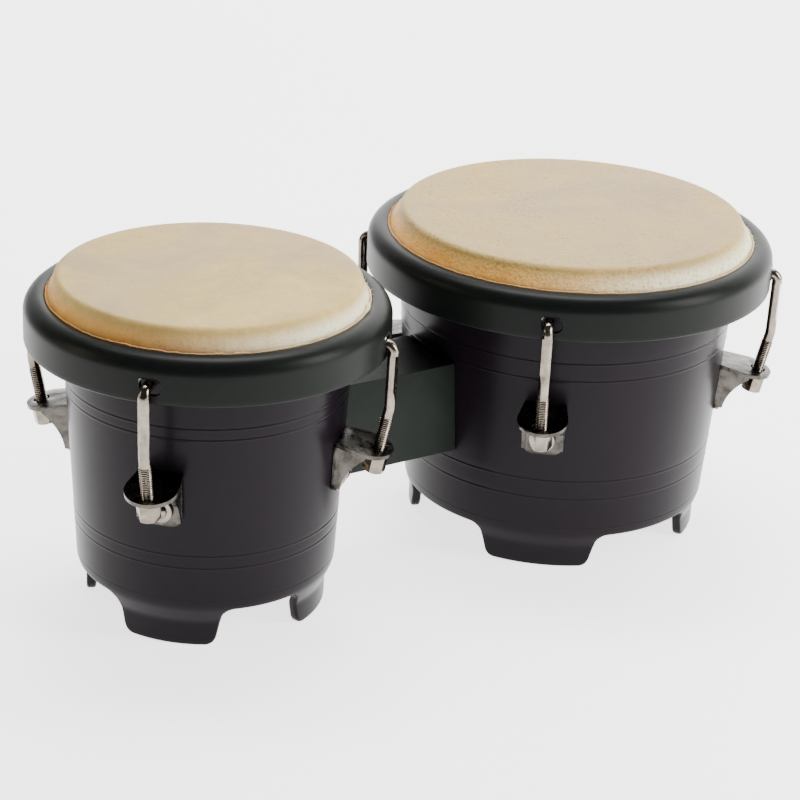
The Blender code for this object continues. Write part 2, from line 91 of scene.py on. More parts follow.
smallDrum = readDrum("small")
largeDrum = readDrum("large")
smallDrum.update(flat=0.072, collar=0.076, wallTop=0.069, wallBase=0.0635, baseHeight=0.0225)
smallDrum.update(foot=0.059, footHeight=0.0125, archHeight=0.0205, archHalf=0.020)
smallDrum.update(rings=(0.1165, 0.111, 0.0502, 0.0437), seed=3.7, tornAt=5.55, hide=0.208)
largeDrum.update(flat=0.088, collar=0.094, wallTop=0.0875, wallBase=0.080, baseHeight=0.0195)
largeDrum.update(foot=0.077, footHeight=0.0115, archHeight=0.018, archHalf=0.030)
largeDrum.update(rings=(0.1165, 0.107, 0.0505, 0.0402), seed=9.1, tornAt=1.9, hide=0.242)
drums = (smallDrum, largeDrum)


def place(drum, turned=0.0):
    clocking = drum["stationTurn"] - math.pi / 4
    return Matrix.Translation(drum["centre"]) @ Matrix.Rotation(clocking + turned, 4, "Z")


def station(drum, number):
    return place(drum, math.pi / 4 + (number - 1) * math.pi / 2)


# Mesh helpers
def gridFaces(rows, columns, wrapRows, wrapColumns):
    faces = []
    for row in range(rows if wrapRows else rows - 1):
        following = (row + 1) % rows
        for column in range(columns if wrapColumns else columns - 1):
            beside = (column + 1) % columns
            corners = ((row, column), (following, column), (following, beside), (row, beside))
            faces.append([line * columns + spot for line, spot in corners])
    return faces


def tidyMesh(mesh, sharpAngle=35, merge=1e-7):
    form = bmesh.new()
    form.from_mesh(mesh)
    bmesh.ops.remove_doubles(form, verts=form.verts, dist=merge)
    bmesh.ops.dissolve_degenerate(form, edges=form.edges, dist=merge)
    bmesh.ops.recalc_face_normals(form, faces=form.faces)
    form.to_mesh(mesh)
    form.free()
    mesh.shade_smooth()
    mesh.set_sharp_from_angle(angle=math.radians(sharpAngle))
    return mesh


def gridMesh(name, points, wrapRows=True, wrapColumns=True, sharpAngle=35):
    rows, columns = points.shape[:2]
    mesh = bpy.data.meshes.new(name)
    mesh.from_pydata(points.reshape(-1, 3).tolist(), [], gridFaces(rows, columns, wrapRows, wrapColumns))
    return tidyMesh(mesh, sharpAngle)


def revolve(name, profile, steps, wrap=True, warp=None, sharpAngle=35):
    profile = np.array(profile, float)
    angles = np.linspace(0, 2 * np.pi, steps, endpoint=False)[:, None]
    radius = np.repeat(profile[None, :, 0], steps, 0)
    height = np.repeat(profile[None, :, 1], steps, 0)
    if warp:
        radius, height = warp(angles, radius, height)
    points = np.stack((radius * np.cos(angles), radius * np.sin(angles), height), -1)
    return gridMesh(name, points, True, wrap, sharpAngle)


def arcPoints(centre, radius, start, end, count):
    return [
        (centre[0] + radius * math.cos(angle), centre[1] + radius * math.sin(angle))
        for angle in np.linspace(math.radians(start), math.radians(end), count)
    ]


def curvePoints(start, handle, end, count):
    points = []
    for share in np.linspace(0, 1, count):
        first, second, third = (1 - share) ** 2, 2 * share * (1 - share), share**2
        points.append(tuple(first * start[i] + second * handle[i] + third * end[i] for i in (0, 1)))
    return points


def directions(path):
    along = np.gradient(path, axis=0)
    along /= np.linalg.norm(along, axis=1)[:, None]
    return along, np.stack((-along[:, 1], along[:, 0]), -1)


def showPiece(name, mesh, material, body, replaced, matrix=None):
    if matrix is not None:
        mesh.transform(matrix)
    mesh.name = name
    piece = bpy.data.objects.new(name, mesh)
    bpy.context.scene.collection.objects.link(piece)
    mesh.materials.clear()
    mesh.materials.append(material)
    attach(piece, body)
    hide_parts(*replaced)
    return piece


def scratchObject(name, mesh, matrix=None):
    made = bpy.data.objects.new(name, mesh)
    bpy.context.scene.collection.objects.link(made)
    if matrix is not None:
        made.matrix_basis = matrix
    return made


def takeMesh(obj, *others):
    bpy.context.view_layer.update()
    graph = bpy.context.evaluated_depsgraph_get()
    mesh = bpy.data.meshes.new_from_object(obj.evaluated_get(graph))
    mesh.transform(obj.matrix_world)
    obj.modifiers.clear()
    for used in (obj, *others):
        bpy.data.objects.remove(used)
    return mesh


outwardFacing = Matrix(((0, 0, 1, 0), (1, 0, 0, 0), (0, 1, 0, 0), (0, 0, 0, 1)))


def cutOrJoin(obj, operation, other):
    modifier = obj.modifiers.new(operation.lower(), "BOOLEAN")
    modifier.operation = operation
    modifier.solver = "EXACT"
    modifier.object = other


def prism(name, outline, low, high):
    form = bmesh.new()
    bottom = [form.verts.new((x, y, low)) for x, y in outline]
    top = [form.verts.new((x, y, high)) for x, y in outline]
    form.faces.new(bottom[::-1])
    form.faces.new(top)
    for index in range(len(outline)):
        following = (index + 1) % len(outline)
        form.faces.new((bottom[index], bottom[following], top[following], top[index]))
    mesh = bpy.data.meshes.new(name)
    bmesh.ops.recalc_face_normals(form, faces=form.faces)
    form.to_mesh(mesh)
    form.free()
    return mesh


def softenEdges(mesh, width, segments, bevelAngle, sharpAngle):
    rounded = scratchObject("rounded", mesh)
    modifier = rounded.modifiers.new("round", "BEVEL")
    modifier.width = width
    modifier.segments = segments
    modifier.limit_method = "ANGLE"
    modifier.angle_limit = math.radians(bevelAngle)
    mesh = takeMesh(rounded)
    mesh.shade_smooth()
    mesh.set_sharp_from_angle(angle=math.radians(sharpAngle))
    return mesh


# Node helpers
def feed(tree, socket, value):
    if isinstance(value, bpy.types.NodeSocket):
        tree.links.new(value, socket)
    elif value is not None:
        socket.default_value = value


def addNode(tree, kind, inputs=None, **settings):
    made = tree.nodes.new(kind)
    for key, value in settings.items():
        setattr(made, key, value)
    for key, value in (inputs or {}).items():
        feed(tree, made.inputs[key], value)
    return made


def calculate(tree, operation, first, second, clamp=False):
    made = addNode(tree, "ShaderNodeMath", {0: first, 1: second}, operation=operation, use_clamp=clamp)
    return made.outputs[0]


def times(tree, first, second, clamp=False):
    return calculate(tree, "MULTIPLY", first, second, clamp)


def plus(tree, first, second, clamp=False):
    return calculate(tree, "ADD", first, second, clamp)


def spread(tree, value, low, high, newLow=0.0, newHigh=1.0):
    inputs = {"Value": value, "From Min": low, "From Max": high, "To Min": newLow, "To Max": newHigh}
    return addNode(tree, "ShaderNodeMapRange", inputs, interpolation_type="SMOOTHSTEP").outputs[0]


def mixColours(tree, factor, first, second):
    made = addNode(tree, "ShaderNodeMix", data_type="RGBA")
    feed(tree, made.inputs[0], factor)
    feed(tree, made.inputs[6], first if isinstance(first, bpy.types.NodeSocket) else (*first, 1))
    feed(tree, made.inputs[7], second if isinstance(second, bpy.types.NodeSocket) else (*second, 1))
    return made.outputs[2]


def noiseAt(tree, vector, scale, detail=3.0, roughness=0.5, distortion=0.0):
    inputs = {"Vector": vector, "Scale": scale, "Detail": detail, "Roughness": roughness}
    inputs["Distortion"] = distortion
    return addNode(tree, "ShaderNodeTexNoise", inputs).outputs["Fac"]


def addInputs(tree, sockets):
    for label, kind, default in sockets:
        socket = tree.interface.new_socket(label, in_out="INPUT", socket_type="NodeSocket" + kind)
        if default is not None:
            socket.default_value = default


def newGroup(name, amounts, output, kind):
    tree = bpy.data.node_groups.new(name, "ShaderNodeTree")
    addInputs(tree, [("Vector", "Vector", None)] + [(label, "Float", amount) for label, amount in amounts])
    tree.interface.new_socket(output, in_out="OUTPUT", socket_type="NodeSocket" + kind)
    return tree, tree.nodes.new("NodeGroupInput").outputs, tree.nodes.new("NodeGroupOutput").inputs[0]


def useGroup(tree, group, inputs):
    made = addNode(tree, "ShaderNodeGroup", node_tree=group)
    for key, value in inputs.items():
        feed(tree, made.inputs[key], value)
    return made


# Shared surface effects
def buildMoulding():
    amounts = [("Ripple Scale", 18.0), ("Ripple Depth", 0.0002)]
    amounts += [("Peel Scale", 900.0), ("Peel Depth", 0.00001)]
    tree, given, result = newGroup("moulding", amounts, "Normal", "Vector")
    ripple = noiseAt(tree, given[0], given[1], 1.0)
    peel = noiseAt(tree, given[0], given[3], 2.0)
    rippleHeight = times(tree, ripple, given[2])
    height = plus(tree, rippleHeight, times(tree, peel, given[4]))
    bump = addNode(tree, "ShaderNodeBump", {"Height": height, "Distance": 1.0, "Strength": 1.0})
    feed(tree, result, bump.outputs[0])
    return tree


def buildDust():
    amounts = [("Amount", 0.2), ("Scale", 60.0)]
    tree, given, result = newGroup("dustFilm", amounts, "Mask", "Float")
    geometry = tree.nodes.new("ShaderNodeNewGeometry")
    upward = addNode(tree, "ShaderNodeSeparateXYZ", {0: geometry.outputs["Normal"]}).outputs[2]
    settled = spread(tree, upward, 0.1, 1.0, 0.15, 1.0)
    patches = spread(tree, noiseAt(tree, given[0], given[2], 6.0, 0.65), 0.42, 0.75)
    mask = times(tree, times(tree, settled, patches), given[1], True)
    feed(tree, result, mask)
    return tree


def buildScratches():
    amounts = [("Amount", 0.3), ("Scale", 1.0)]
    tree, given, result = newGroup("fineScratches", amounts, "Mask", "Float")
    scaled = addNode(tree, "ShaderNodeVectorMath", {0: given[0]}, operation="SCALE")
    feed(tree, scaled.inputs["Scale"], given[2])
    found = []
    for turn, scale in ((0.3, (900, 40, 60)), (1.4, (50, 1000, 70)), (2.2, (700, 60, 800))):
        turned = {"Vector": scaled.outputs[0], "Rotation": (turn, turn / 2, turn), "Scale": scale}
        mapping = addNode(tree, "ShaderNodeMapping", turned)
        found.append(spread(tree, noiseAt(tree, mapping.outputs[0], 1.0, 1.0, 0.4), 0.66, 0.74))
    both = calculate(tree, "MAXIMUM", found[0], calculate(tree, "MAXIMUM", found[1], found[2]))
    feed(tree, result, times(tree, both, given[1], True))
    return tree


def buildClouds():
    amounts = [("Scale", 20.0), ("Contrast", 1.0)]
    tree, given, result = newGroup("clouds", amounts, "Value", "Float")
    broad = noiseAt(tree, given[0], given[1], 5.0, 0.6, 0.6)
    centred = calculate(tree, "SUBTRACT", broad, 0.5)
    value = plus(tree, times(tree, centred, given[2]), 0.5, True)
    feed(tree, result, value)
    return tree


moulding = buildMoulding()
dustFilm = buildDust()
fineScratches = buildScratches()
clouds = buildClouds()
print("effect groups built")


def cloudAt(tree, where, scale, contrast):
    return useGroup(tree, clouds, {"Vector": where, "Scale": scale, "Contrast": contrast}).outputs[0]


def mouldedNormal(tree, where, ripple, peel):
    inputs = {"Vector": where, "Ripple Scale": ripple[0], "Ripple Depth": ripple[1]}
    inputs.update({"Peel Scale": peel[0], "Peel Depth": peel[1]})
    return useGroup(tree, moulding, inputs).outputs[0]


def newMaterial(name):
    material = bpy.data.materials.new(name)
    material.use_nodes = True
    tree = material.node_tree
    tree.nodes.clear()
    shader = tree.nodes.new("ShaderNodeBsdfPrincipled")
    output = tree.nodes.new("ShaderNodeOutputMaterial")
    tree.links.new(shader.outputs[0], output.inputs[0])
    coordinates = tree.nodes.new("ShaderNodeTexCoord").outputs["Object"]
    return material, tree, shader, coordinates


def setShader(tree, shader, inputs):
    for key, value in inputs.items():
        if isinstance(value, tuple) and len(value) == 3:
            value = (*value, 1)
        feed(tree, shader.inputs[key], value)


def makeShellPlastic():
    look = {"dark": (0.0050, 0.0031, 0.0052), "light": (0.0078, 0.0051, 0.0080)}
    material, tree, shader, where = newMaterial("shellPlastic")
    tone = cloudAt(tree, where, 9.0, 0.8)
    colour = mixColours(tree, tone, look["dark"], look["light"])
    rough = spread(tree, tone, 0.0, 1.0, 0.25, 0.33)
    normal = mouldedNormal(tree, where, (16.0, 0.00030), (900.0, 0.000002))
    setShader(tree, shader, {"Base Color": colour, "Roughness": rough, "Normal": normal})
    setShader(tree, shader, {"Specular IOR Level": 0.09})
    return material


def makePowderCoat(name, look):
    material, tree, shader, where = newMaterial(name)
    tone = cloudAt(tree, where, 20.0, 0.8)
    film = {"Vector": where, "Amount": look["dustAmount"], "Scale": 120.0}
    dust = useGroup(tree, dustFilm, film).outputs[0]
    colour = mixColours(tree, dust, mixColours(tree, tone, look["dark"], look["light"]), (0.16, 0.15, 0.14))
    bare = addNode(tree, "ShaderNodeAttribute", attribute_name="bareMetal").outputs["Fac"]
    chip = noiseAt(tree, where, 900.0, 3.0)
    bared = spread(tree, times(tree, bare, plus(tree, chip, 0.55)), 0.45, 0.62)
    colour = mixColours(tree, bared, colour, (0.62, 0.58, 0.53))
    low, high = look["rough"]
    rough = spread(tree, tone, 0.0, 1.0, low, high)
    normal = mouldedNormal(tree, where, (30.0, look["ripple"]), (1500.0, look["peel"]))
    setShader(tree, shader, {"Base Color": colour, "Roughness": rough, "Normal": normal, "Metallic": bared})
    setShader(tree, shader, {"Specular IOR Level": look["specular"]})
    return material


def makeRawhide(name, look):
    material, tree, shader, where = newMaterial(name)
    apart = addNode(tree, "ShaderNodeSeparateXYZ", {0: where})
    height = apart.outputs[2]
    cloud = cloudAt(tree, where, look["cloudScale"], 3.4)
    mottle = cloudAt(tree, where, 160.0, 1.8)
    top = mixColours(tree, cloud, look["dark"], look["light"])
    top = mixColours(tree, times(tree, mottle, 0.5), top, look["vein"])
    cells = {"Vector": where, "Scale": look["poreScale"], "Randomness": 1.0}
    poreField = addNode(tree, "ShaderNodeTexVoronoi", cells)
    pore = spread(tree, poreField.outputs["Distance"], 0.10, 0.42, 1.0, 0.0)
    gate = spread(tree, noiseAt(tree, where, 55.0, 3.0), 0.42, 0.62)
    pore = times(tree, times(tree, pore, gate), look["poreAmount"], True)
    top = mixColours(tree, pore, top, look["pore"])
    collar = mixColours(tree, cloudAt(tree, where, 60.0, 1.6), look["amber"], look["amberLight"])
    # Painted light: the collar's amber hide colour is painted near-white towards the key light's side (right
    # in the camera view), leaving the shaded left side amber.
    rightward = plus(tree, times(tree, apart.outputs[0], 0.83), times(tree, apart.outputs[1], -0.55))
    sideways = spread(tree, rightward, 0.83 * look["centre"] - 0.045, 0.83 * look["centre"] + 0.065)
    collar = mixColours(tree, sideways, collar, look["collarRight"])
    drop = spread(tree, height, 0.1600, 0.1672, 1.0, 0.0)
    colour = mixColours(tree, drop, top, collar)
    grain = noiseAt(tree, where, 620.0, 3.0, 0.6)
    speckle = spread(tree, grain, 0.50, 0.68, 0.0, look["speckle"])
    colour = mixColours(tree, speckle, colour, look["vein"])
    frayed = spread(tree, height, 0.1572, 0.1592, 0.8, 0.0)
    colour = mixColours(tree, frayed, colour, look["edge"])
    # Painted shade: the skin tucked inside the hoop goes near-black below the hoop's inner lip.
    colour = mixColours(tree, spread(tree, height, 0.1545, 0.1562, 1.0, 0.0), colour, look["tuck"])
    broad = noiseAt(tree, where, 40.0, 4.0, 0.6)
    relief = plus(tree, times(tree, grain, look["pebble"]), times(tree, broad, 0.00045))
    relief = calculate(tree, "SUBTRACT", relief, times(tree, pore, 0.00022))
    bump = addNode(tree, "ShaderNodeBump", {"Height": relief, "Distance": 1.0, "Strength": 0.8}).outputs[0]
    rough = spread(tree, cloud, 0.2, 0.8, 0.42, 0.58)
    setShader(tree, shader, {"Base Color": colour, "Roughness": rough, "Normal": bump})
    setShader(tree, shader, {"Subsurface Weight": 0.15, "Subsurface Scale": 0.0012})
    setShader(tree, shader, {"Specular IOR Level": 0.35})
    shader.inputs["Subsurface Radius"].default_value = (1.0, 0.55, 0.28)
    return material


def makePlatedMetal(name, look):
    material, tree, shader, where = newMaterial(name)
    tone = cloudAt(tree, where, look["scale"], 2.0)
    scored = {"Vector": where, "Amount": look["scratch"], "Scale": 1.0}
    scratch = useGroup(tree, fineScratches, scored).outputs[0]
    colour = mixColours(tree, tone, look["dark"], look["light"])
    stain = spread(tree, noiseAt(tree, where, 210.0, 5.0, 0.7), 0.58, 0.72, 0.0, look["stain"])
    colour = mixColours(tree, stain, colour, look["stainColour"])
    # Painted shade: the "shade" attribute darkens the colour to near-black where a lug plate sits sheltered
    # against the shell wall.
    shade = addNode(tree, "ShaderNodeAttribute", attribute_name="shade").outputs["Fac"]
    colour = mixColours(tree, spread(tree, shade, 0.0, 1.0, 0.0, 0.8), colour, (0.022, 0.021, 0.019))
    low, high = look["rough"]
    rough = plus(tree, spread(tree, tone, 0.2, 0.8, low, high), times(tree, scratch, 0.3))
    rough = plus(tree, rough, times(tree, stain, 0.25))
    normal = mouldedNormal(tree, where, (look["rippleScale"], look["ripple"]), (2500.0, 0.000004))
    setShader(tree, shader, {"Base Color": colour, "Roughness": rough, "Normal": normal, "Metallic": 1.0})
    return material


shellPlastic = makeShellPlastic()
hoopLook = {"dark": (0.0032, 0.0046, 0.0038), "light": (0.0058, 0.0078, 0.0066), "dustAmount": 0.02}
hoopLook.update(rough=(0.33, 0.40), ripple=0.00018, peel=0.000008, specular=0.10)
hoopPowder = makePowderCoat("hoopPowder", hoopLook)
blockLook = {"dark": (0.0080, 0.0112, 0.0092), "light": (0.0120, 0.0162, 0.0136), "dustAmount": 0.10}
blockLook.update(rough=(0.42, 0.52), ripple=0.00010, peel=0.000012, specular=0.09)
blockPowder = makePowderCoat("blockPowder", blockLook)
hideLook = {"dark": (0.35, 0.228, 0.063), "light": (0.67, 0.485, 0.155), "vein": (0.40, 0.245, 0.070)}
# collarRight is the painted lit colour of the collar on the key light's side.
hideLook.update(amber=(0.72, 0.28, 0.030), amberLight=(0.92, 0.56, 0.13), collarRight=(0.95, 0.90, 0.62))
# tuck is painted shade for the skin tucked inside the hoop.
hideLook.update(edge=(0.36, 0.17, 0.05), tuck=(0.06, 0.032, 0.014), pore=(0.20, 0.11, 0.04))
smoothLook = {**hideLook, "cloudScale": 16.0, "poreScale": 420.0, "poreAmount": 0.2, "pebble": 0.00030}
smoothLook.update(speckle=0.25, centre=smallDrum["centre"].x)
poredLook = {**hideLook, "cloudScale": 11.0, "poreScale": 330.0, "poreAmount": 0.6, "pebble": 0.00070}
poredLook.update(speckle=0.55, centre=largeDrum["centre"].x)
rawhide = {"small": makeRawhide("rawhideSmooth", smoothLook), "large": makeRawhide("rawhidePored", poredLook)}
nickelLook = {"dark": (0.10, 0.086, 0.070), "light": (0.29, 0.25, 0.205), "stainColour": (0.16, 0.12, 0.085)}
nickelLook.update(stain=0.35, scale=120.0, scratch=0.35, rough=(0.12, 0.24))
nickelLook.update(rippleScale=260.0, ripple=0.00005)
nickelPlate = makePlatedMetal("nickelPlate", nickelLook)
stampedLook = {**nickelLook, "dark": (0.022, 0.020, 0.018), "light": (0.115, 0.106, 0.094), "scale": 170.0}
stampedLook.update(rippleScale=190.0, ripple=0.00040, stain=0.2, rough=(0.20, 0.34))
stampedNickel = makePlatedMetal("stampedNickel", stampedLook)
wireLook = {**nickelLook, "dark": (0.30, 0.28, 0.26), "light": (0.46, 0.44, 0.41), "stain": 0.6}
wireLook.update(rough=(0.34, 0.5))
steelWire = makePlatedMetal("steelWire", wireLook)
print("materials made")


# Shells
shellBuild = {"wall": 0.0048, "edge": 0.0014, "fillet": 0.0058, "rib": 0.00013, "ribWidth": 0.00040}
shellBuild.update(rimHeight=0.1648, flareHeight=0.134, lowRing=0.0034)


def bend(height, corner, slopeChange, reach):
    over = height - corner
    curved = slopeChange * np.clip(over + reach, 0, 2 * reach) ** 2 / (4 * reach)
    return np.where(over > reach, slopeChange * over, curved)


def outerRadius(drum, height, ribs=True):
    chamfer = (drum["wallBase"] - drum["foot"]) / (drum["baseHeight"] - drum["footHeight"])
    taper = (drum["wallTop"] - drum["wallBase"]) / (shellBuild["flareHeight"] - drum["baseHeight"])
    rimRadius = drum["flat"] - 0.0008
    flare = (rimRadius - drum["wallTop"]) / (shellBuild["rimHeight"] - shellBuild["flareHeight"])
    radius = drum["foot"] + bend(height, drum["footHeight"], chamfer, 0.0016)
    radius = radius + bend(height, drum["baseHeight"], taper - chamfer, 0.0026)
    radius = radius + bend(height, shellBuild["flareHeight"], flare - taper, 0.002)
    if ribs:
        for ring in (*drum["rings"], drum["baseHeight"] + shellBuild["lowRing"]):
            depth = shellBuild["rib"] * (1.0 if ring in drum["rings"] else 0.5)
            offset = (height - ring) / shellBuild["ribWidth"]
            radius = radius + depth * (np.exp(-offset**2) - 0.55 * np.exp(-((offset - 2.4) ** 2)))
    return radius


def feetCurve(drum):
    half, top, fillet = drum["archHalf"], drum["archHeight"], shellBuild["fillet"]
    points = [(along, top) for along in np.arange(0, half - fillet - 0.0004, 0.0013)]
    points += arcPoints((half - fillet, top - fillet), fillet, 90, 0, 11)
    lowest = (half + 0.0020, 0.0056)
    drop = lowest[1] - top + fillet
    points += [(half + 0.0020 * share, top - fillet + drop * share) for share in (0.25, 0.5, 0.75)]
    handle, end = (half + 0.0031, 0.0002), (half + 0.0080, 0.0)
    points += curvePoints(lowest, handle, end, 11)
    quarter = drum["foot"] * math.pi / 4
    points += [(along, 0.0) for along in np.linspace(end[0], quarter, 12)[1:]]
    mirrored = [(2 * quarter - along, height) for along, height in reversed(points[1:-1])]
    whole = np.array(points + mirrored)
    return np.concatenate([whole + (2 * quarter * turn, 0) for turn in range(4)])


def shellHeights(drum, start, rimHeight):
    heights = set(np.round(np.arange(start, rimHeight, 0.006), 5))
    across = np.array([-3, -2, -1.4, -0.9, -0.45, 0, 0.45, 0.9, 1.4, 1.9, 2.4, 3, 4.2])
    for ring in (*drum["rings"], drum["baseHeight"] + shellBuild["lowRing"]):
        heights = {height for height in heights if abs(height - ring) > 0.0018}
        heights |= set(np.round(ring + across * shellBuild["ribWidth"], 6))
    return np.array(sorted(height for height in heights if start <= height < rimHeight) + [rimHeight])


def shellMesh(drum):
    curve = feetCurve(drum)
    girth = 2 * math.pi * drum["foot"]
    before, after = np.roll(curve, 1, 0), np.roll(curve, -1, 0)
    before[0, 0] -= girth
    after[-1, 0] += girth
    tangent = after - before
    tangent /= np.linalg.norm(tangent, axis=1)[:, None]
    downward = np.stack((tangent[:, 1], -tangent[:, 0]), -1)
    edge, wall = shellBuild["edge"], shellBuild["wall"]
    inset = curve - downward * edge
    start = drum["baseHeight"] + 0.0006
    loop = []

    def addPoint(at, depth, ribs=True):
        radius = outerRadius(drum, at[:, 1], ribs) - depth
        angle = at[:, 0] / drum["foot"]
        loop.append(np.stack((radius * np.cos(angle), radius * np.sin(angle), at[:, 1]), -1))

    def lift(share):
        return np.stack((inset[:, 0], inset[:, 1] + (start - inset[:, 1]) * share), -1)

    def levelAt(height):
        return np.stack((inset[:, 0], np.full(len(inset), height)), -1)

    for share in np.linspace(0, 1, 22)[:-1]:
        addPoint(lift(share), 0)
    for height in shellHeights(drum, start, shellBuild["rimHeight"]):
        addPoint(levelAt(height), 0)
    for depth, height in ((0.0002, 0.1656), (0.0009, 0.1663), (0.0018, 0.1667), (0.0028, 0.16678)):
        addPoint(levelAt(height), depth, False)
    for height in np.linspace(0.162, start, 14):
        addPoint(levelAt(height), wall, False)
    for share in np.linspace(1, 0, 12)[1:]:
        addPoint(lift(share), wall, False)
    turns = np.linspace(0, math.pi / 2, 6)
    for turn in turns[1:]:
        addPoint(curve - downward * edge * (1 - math.sin(turn)), wall - edge * (1 - math.cos(turn)), False)
    for turn in turns[::-1][:-1]:
        addPoint(curve - downward * edge * (1 - math.sin(turn)), edge * (1 - math.cos(turn)), False)
    return gridMesh("shell", np.stack(loop, 1), sharpAngle=60)


for drum in drums:
    name = drum["name"]
    showPiece(name + "ShellSkin", shellMesh(drum), shellPlastic, "shells_and_block",
              [name + "_shell"], place(drum))
print("shells made")


# Heads, tucked round their flesh rings
headBuild = {"skin": 0.0009, "ringOut": 0.0034, "ringHeight": 0.1519, "wire": 0.0025, "clear": 0.0003}
headBuild.update(roundOver=0.0024, shoulder=0.1572, cutEdge=0.1577, wavy=0.0005, frayed=0.0004, torn=0.0030)


def headMiddle(drum):
    top = drum["headTop"] - headBuild["skin"] / 2
    flat, collar = drum["flat"], drum["collar"] - headBuild["skin"] / 2
    over = headBuild["roundOver"]
    path = [(radius, top) for radius in np.linspace(0.0, flat - over, 26)]
    end = (flat + 0.0006, top - over)
    path += curvePoints((flat - over, top), (flat + 0.0001, top), end, 9)[1:]
    bottom = (collar, headBuild["ringHeight"] + 0.0006)
    shoulder = (collar + 0.0001, headBuild["shoulder"])
    for share in np.linspace(0, 1, 8)[1:]:
        path.append(tuple(end[i] + (shoulder[i] - end[i]) * share for i in (0, 1)))
    wrap = headBuild["wire"] + headBuild["clear"] + headBuild["skin"] / 2
    centre = (drum["collar"] + headBuild["ringOut"], headBuild["ringHeight"])
    path.append(((shoulder[0] + bottom[0]) / 2, (shoulder[1] + bottom[1]) / 2))
    path += arcPoints(centre, wrap, 176, 425, 22)
    tail = ((0.0020, 0.15515), (0.0010, 0.1563), (0.0006, 0.1570), (0.0005, 0.1575), (0.0004, 0.1579))
    return path + [(drum["collar"] + out, height) for out, height in tail]


def thicken(path, thickness):
    path = np.array(path)
    along, aside = directions(path)
    over = path + aside * thickness / 2
    under = path - aside * thickness / 2
    return over, under, path[-1] + along[-1] * thickness * 0.35


def ringNoise(angles, seed, frequency):
    places = [(math.cos(angle) * frequency, math.sin(angle) * frequency, seed) for angle in angles[:, 0]]
    return np.array([noise.noise(Vector(at)) for at in places])[:, None]


def headMesh(drum):
    over, under, tip = thicken(headMiddle(drum), headBuild["skin"])
    over[0] = (0.0, drum["headTop"])
    under[0] = (0.0, drum["headTop"] - headBuild["skin"])
    profile = np.concatenate((over, [tip], under[::-1]))
    count = len(over)
    order = np.concatenate((np.arange(count), [count], np.arange(count)[::-1]))[None, :]
    collarShare = np.clip((order - 30) / 6, 0, 1) * (order < count - 24)
    tuckShare = np.clip((order - (count - 6)) / 5, 0, 1)
    seed = drum["seed"]

    def warp(angles, radius, height):
        pucker = ringNoise(angles, seed, 9) * 0.00022 + ringNoise(angles, seed + 2, 30) * 0.00010
        ragged = ringNoise(angles, seed + 5, 12) * headBuild["wavy"]
        ragged = ragged + ringNoise(angles, seed + 7, 60) * headBuild["frayed"]
        fromTear = (angles - drum["tornAt"] + math.pi) % (2 * math.pi) - math.pi
        torn = np.exp(-((fromTear / 0.045) ** 2)) * headBuild["torn"]
        sag = ringNoise(angles, seed + 11, 3) * 0.00008 * np.clip(order / 26, 0, 1) * (order < 26)
        lean = tuckShare * (ringNoise(angles, seed + 13, 22) * 0.00020 + torn * 0.2)
        return radius + pucker * collarShare + lean, height + tuckShare * (ragged + torn - 0.0002) + sag

    return revolve("head", profile, 540, False, warp, 50)


def newShapeTree(name, sockets):
    tree = bpy.data.node_groups.new(name, "GeometryNodeTree")
    tree.is_modifier = True
    addInputs(tree, [("Geometry", "Geometry", None), *sockets, ("Material", "Material", None)])
    tree.interface.new_socket("Geometry", in_out="OUTPUT", socket_type="NodeSocketGeometry")
    return tree, tree.nodes.new("NodeGroupInput").outputs, tree.nodes.new("NodeGroupOutput")


def endTree(tree, placed, source, result):
    real = addNode(tree, "GeometryNodeRealizeInstances", {0: placed.outputs[0]})
    painting = {"Geometry": real.outputs[0], "Material": source["Material"]}
    feed(tree, result.inputs[0], addNode(tree, "GeometryNodeSetMaterial", painting).outputs[0])
    return tree


def buildFibreTree():
    sockets = [("Share", "Float", 0.5), ("Seed", "Int", 7)]
    sockets += [("Shortest", "Float", 0.3), ("Longest", "Float", 1.0), ("Lean", "Float", 0.7)]
    tree, source, result = newShapeTree("edgeFibres", sockets)
    lot = {"Probability": source["Share"], "Seed": source["Seed"]}
    chosen = addNode(tree, "FunctionNodeRandomValue", lot, data_type="BOOLEAN").outputs[3]
    strand = {"Vertices": 4, "Radius Bottom": 0.00011, "Radius Top": 0.00004, "Depth": 0.0022}
    fibre = addNode(tree, "GeometryNodeMeshCone", strand)
    lengths = {2: source["Shortest"], 3: source["Longest"], "Seed": source["Seed"]}
    size = addNode(tree, "FunctionNodeRandomValue", lengths, data_type="FLOAT")
    low = addNode(tree, "ShaderNodeVectorMath", {0: (1.0, 1.0, 0.4)}, operation="SCALE")
    feed(tree, low.inputs["Scale"], times(tree, source["Lean"], -1.0))
    high = addNode(tree, "ShaderNodeVectorMath", {0: (1.0, 1.0, 0.4)}, operation="SCALE")
    feed(tree, high.inputs["Scale"], source["Lean"])
    leans = {0: low.outputs[0], 1: high.outputs[0], "Seed": source["Seed"]}
    tilt = addNode(tree, "FunctionNodeRandomValue", leans, data_type="FLOAT_VECTOR")
    copies = {"Points": source["Geometry"], "Selection": chosen, "Instance": fibre.outputs["Mesh"]}
    copies.update({"Rotation": tilt.outputs[0], "Scale": size.outputs[1]})
    return endTree(tree, addNode(tree, "GeometryNodeInstanceOnPoints", copies), source, result)


def buildRadialTree():
    tree, source, result = newShapeTree("radialCopies", [("Count", "Int", 4), ("Step", "Float", math.pi / 2)])
    line = addNode(tree, "GeometryNodeMeshLine", {"Count": source["Count"], "Offset": (0, 0, 0)})
    index = tree.nodes.new("GeometryNodeInputIndex").outputs[0]
    turn = addNode(tree, "ShaderNodeCombineXYZ", {2: times(tree, index, source["Step"])})
    copies = {"Points": line.outputs[0], "Instance": source["Geometry"], "Rotation": turn.outputs[0]}
    return endTree(tree, addNode(tree, "GeometryNodeInstanceOnPoints", copies), source, result)


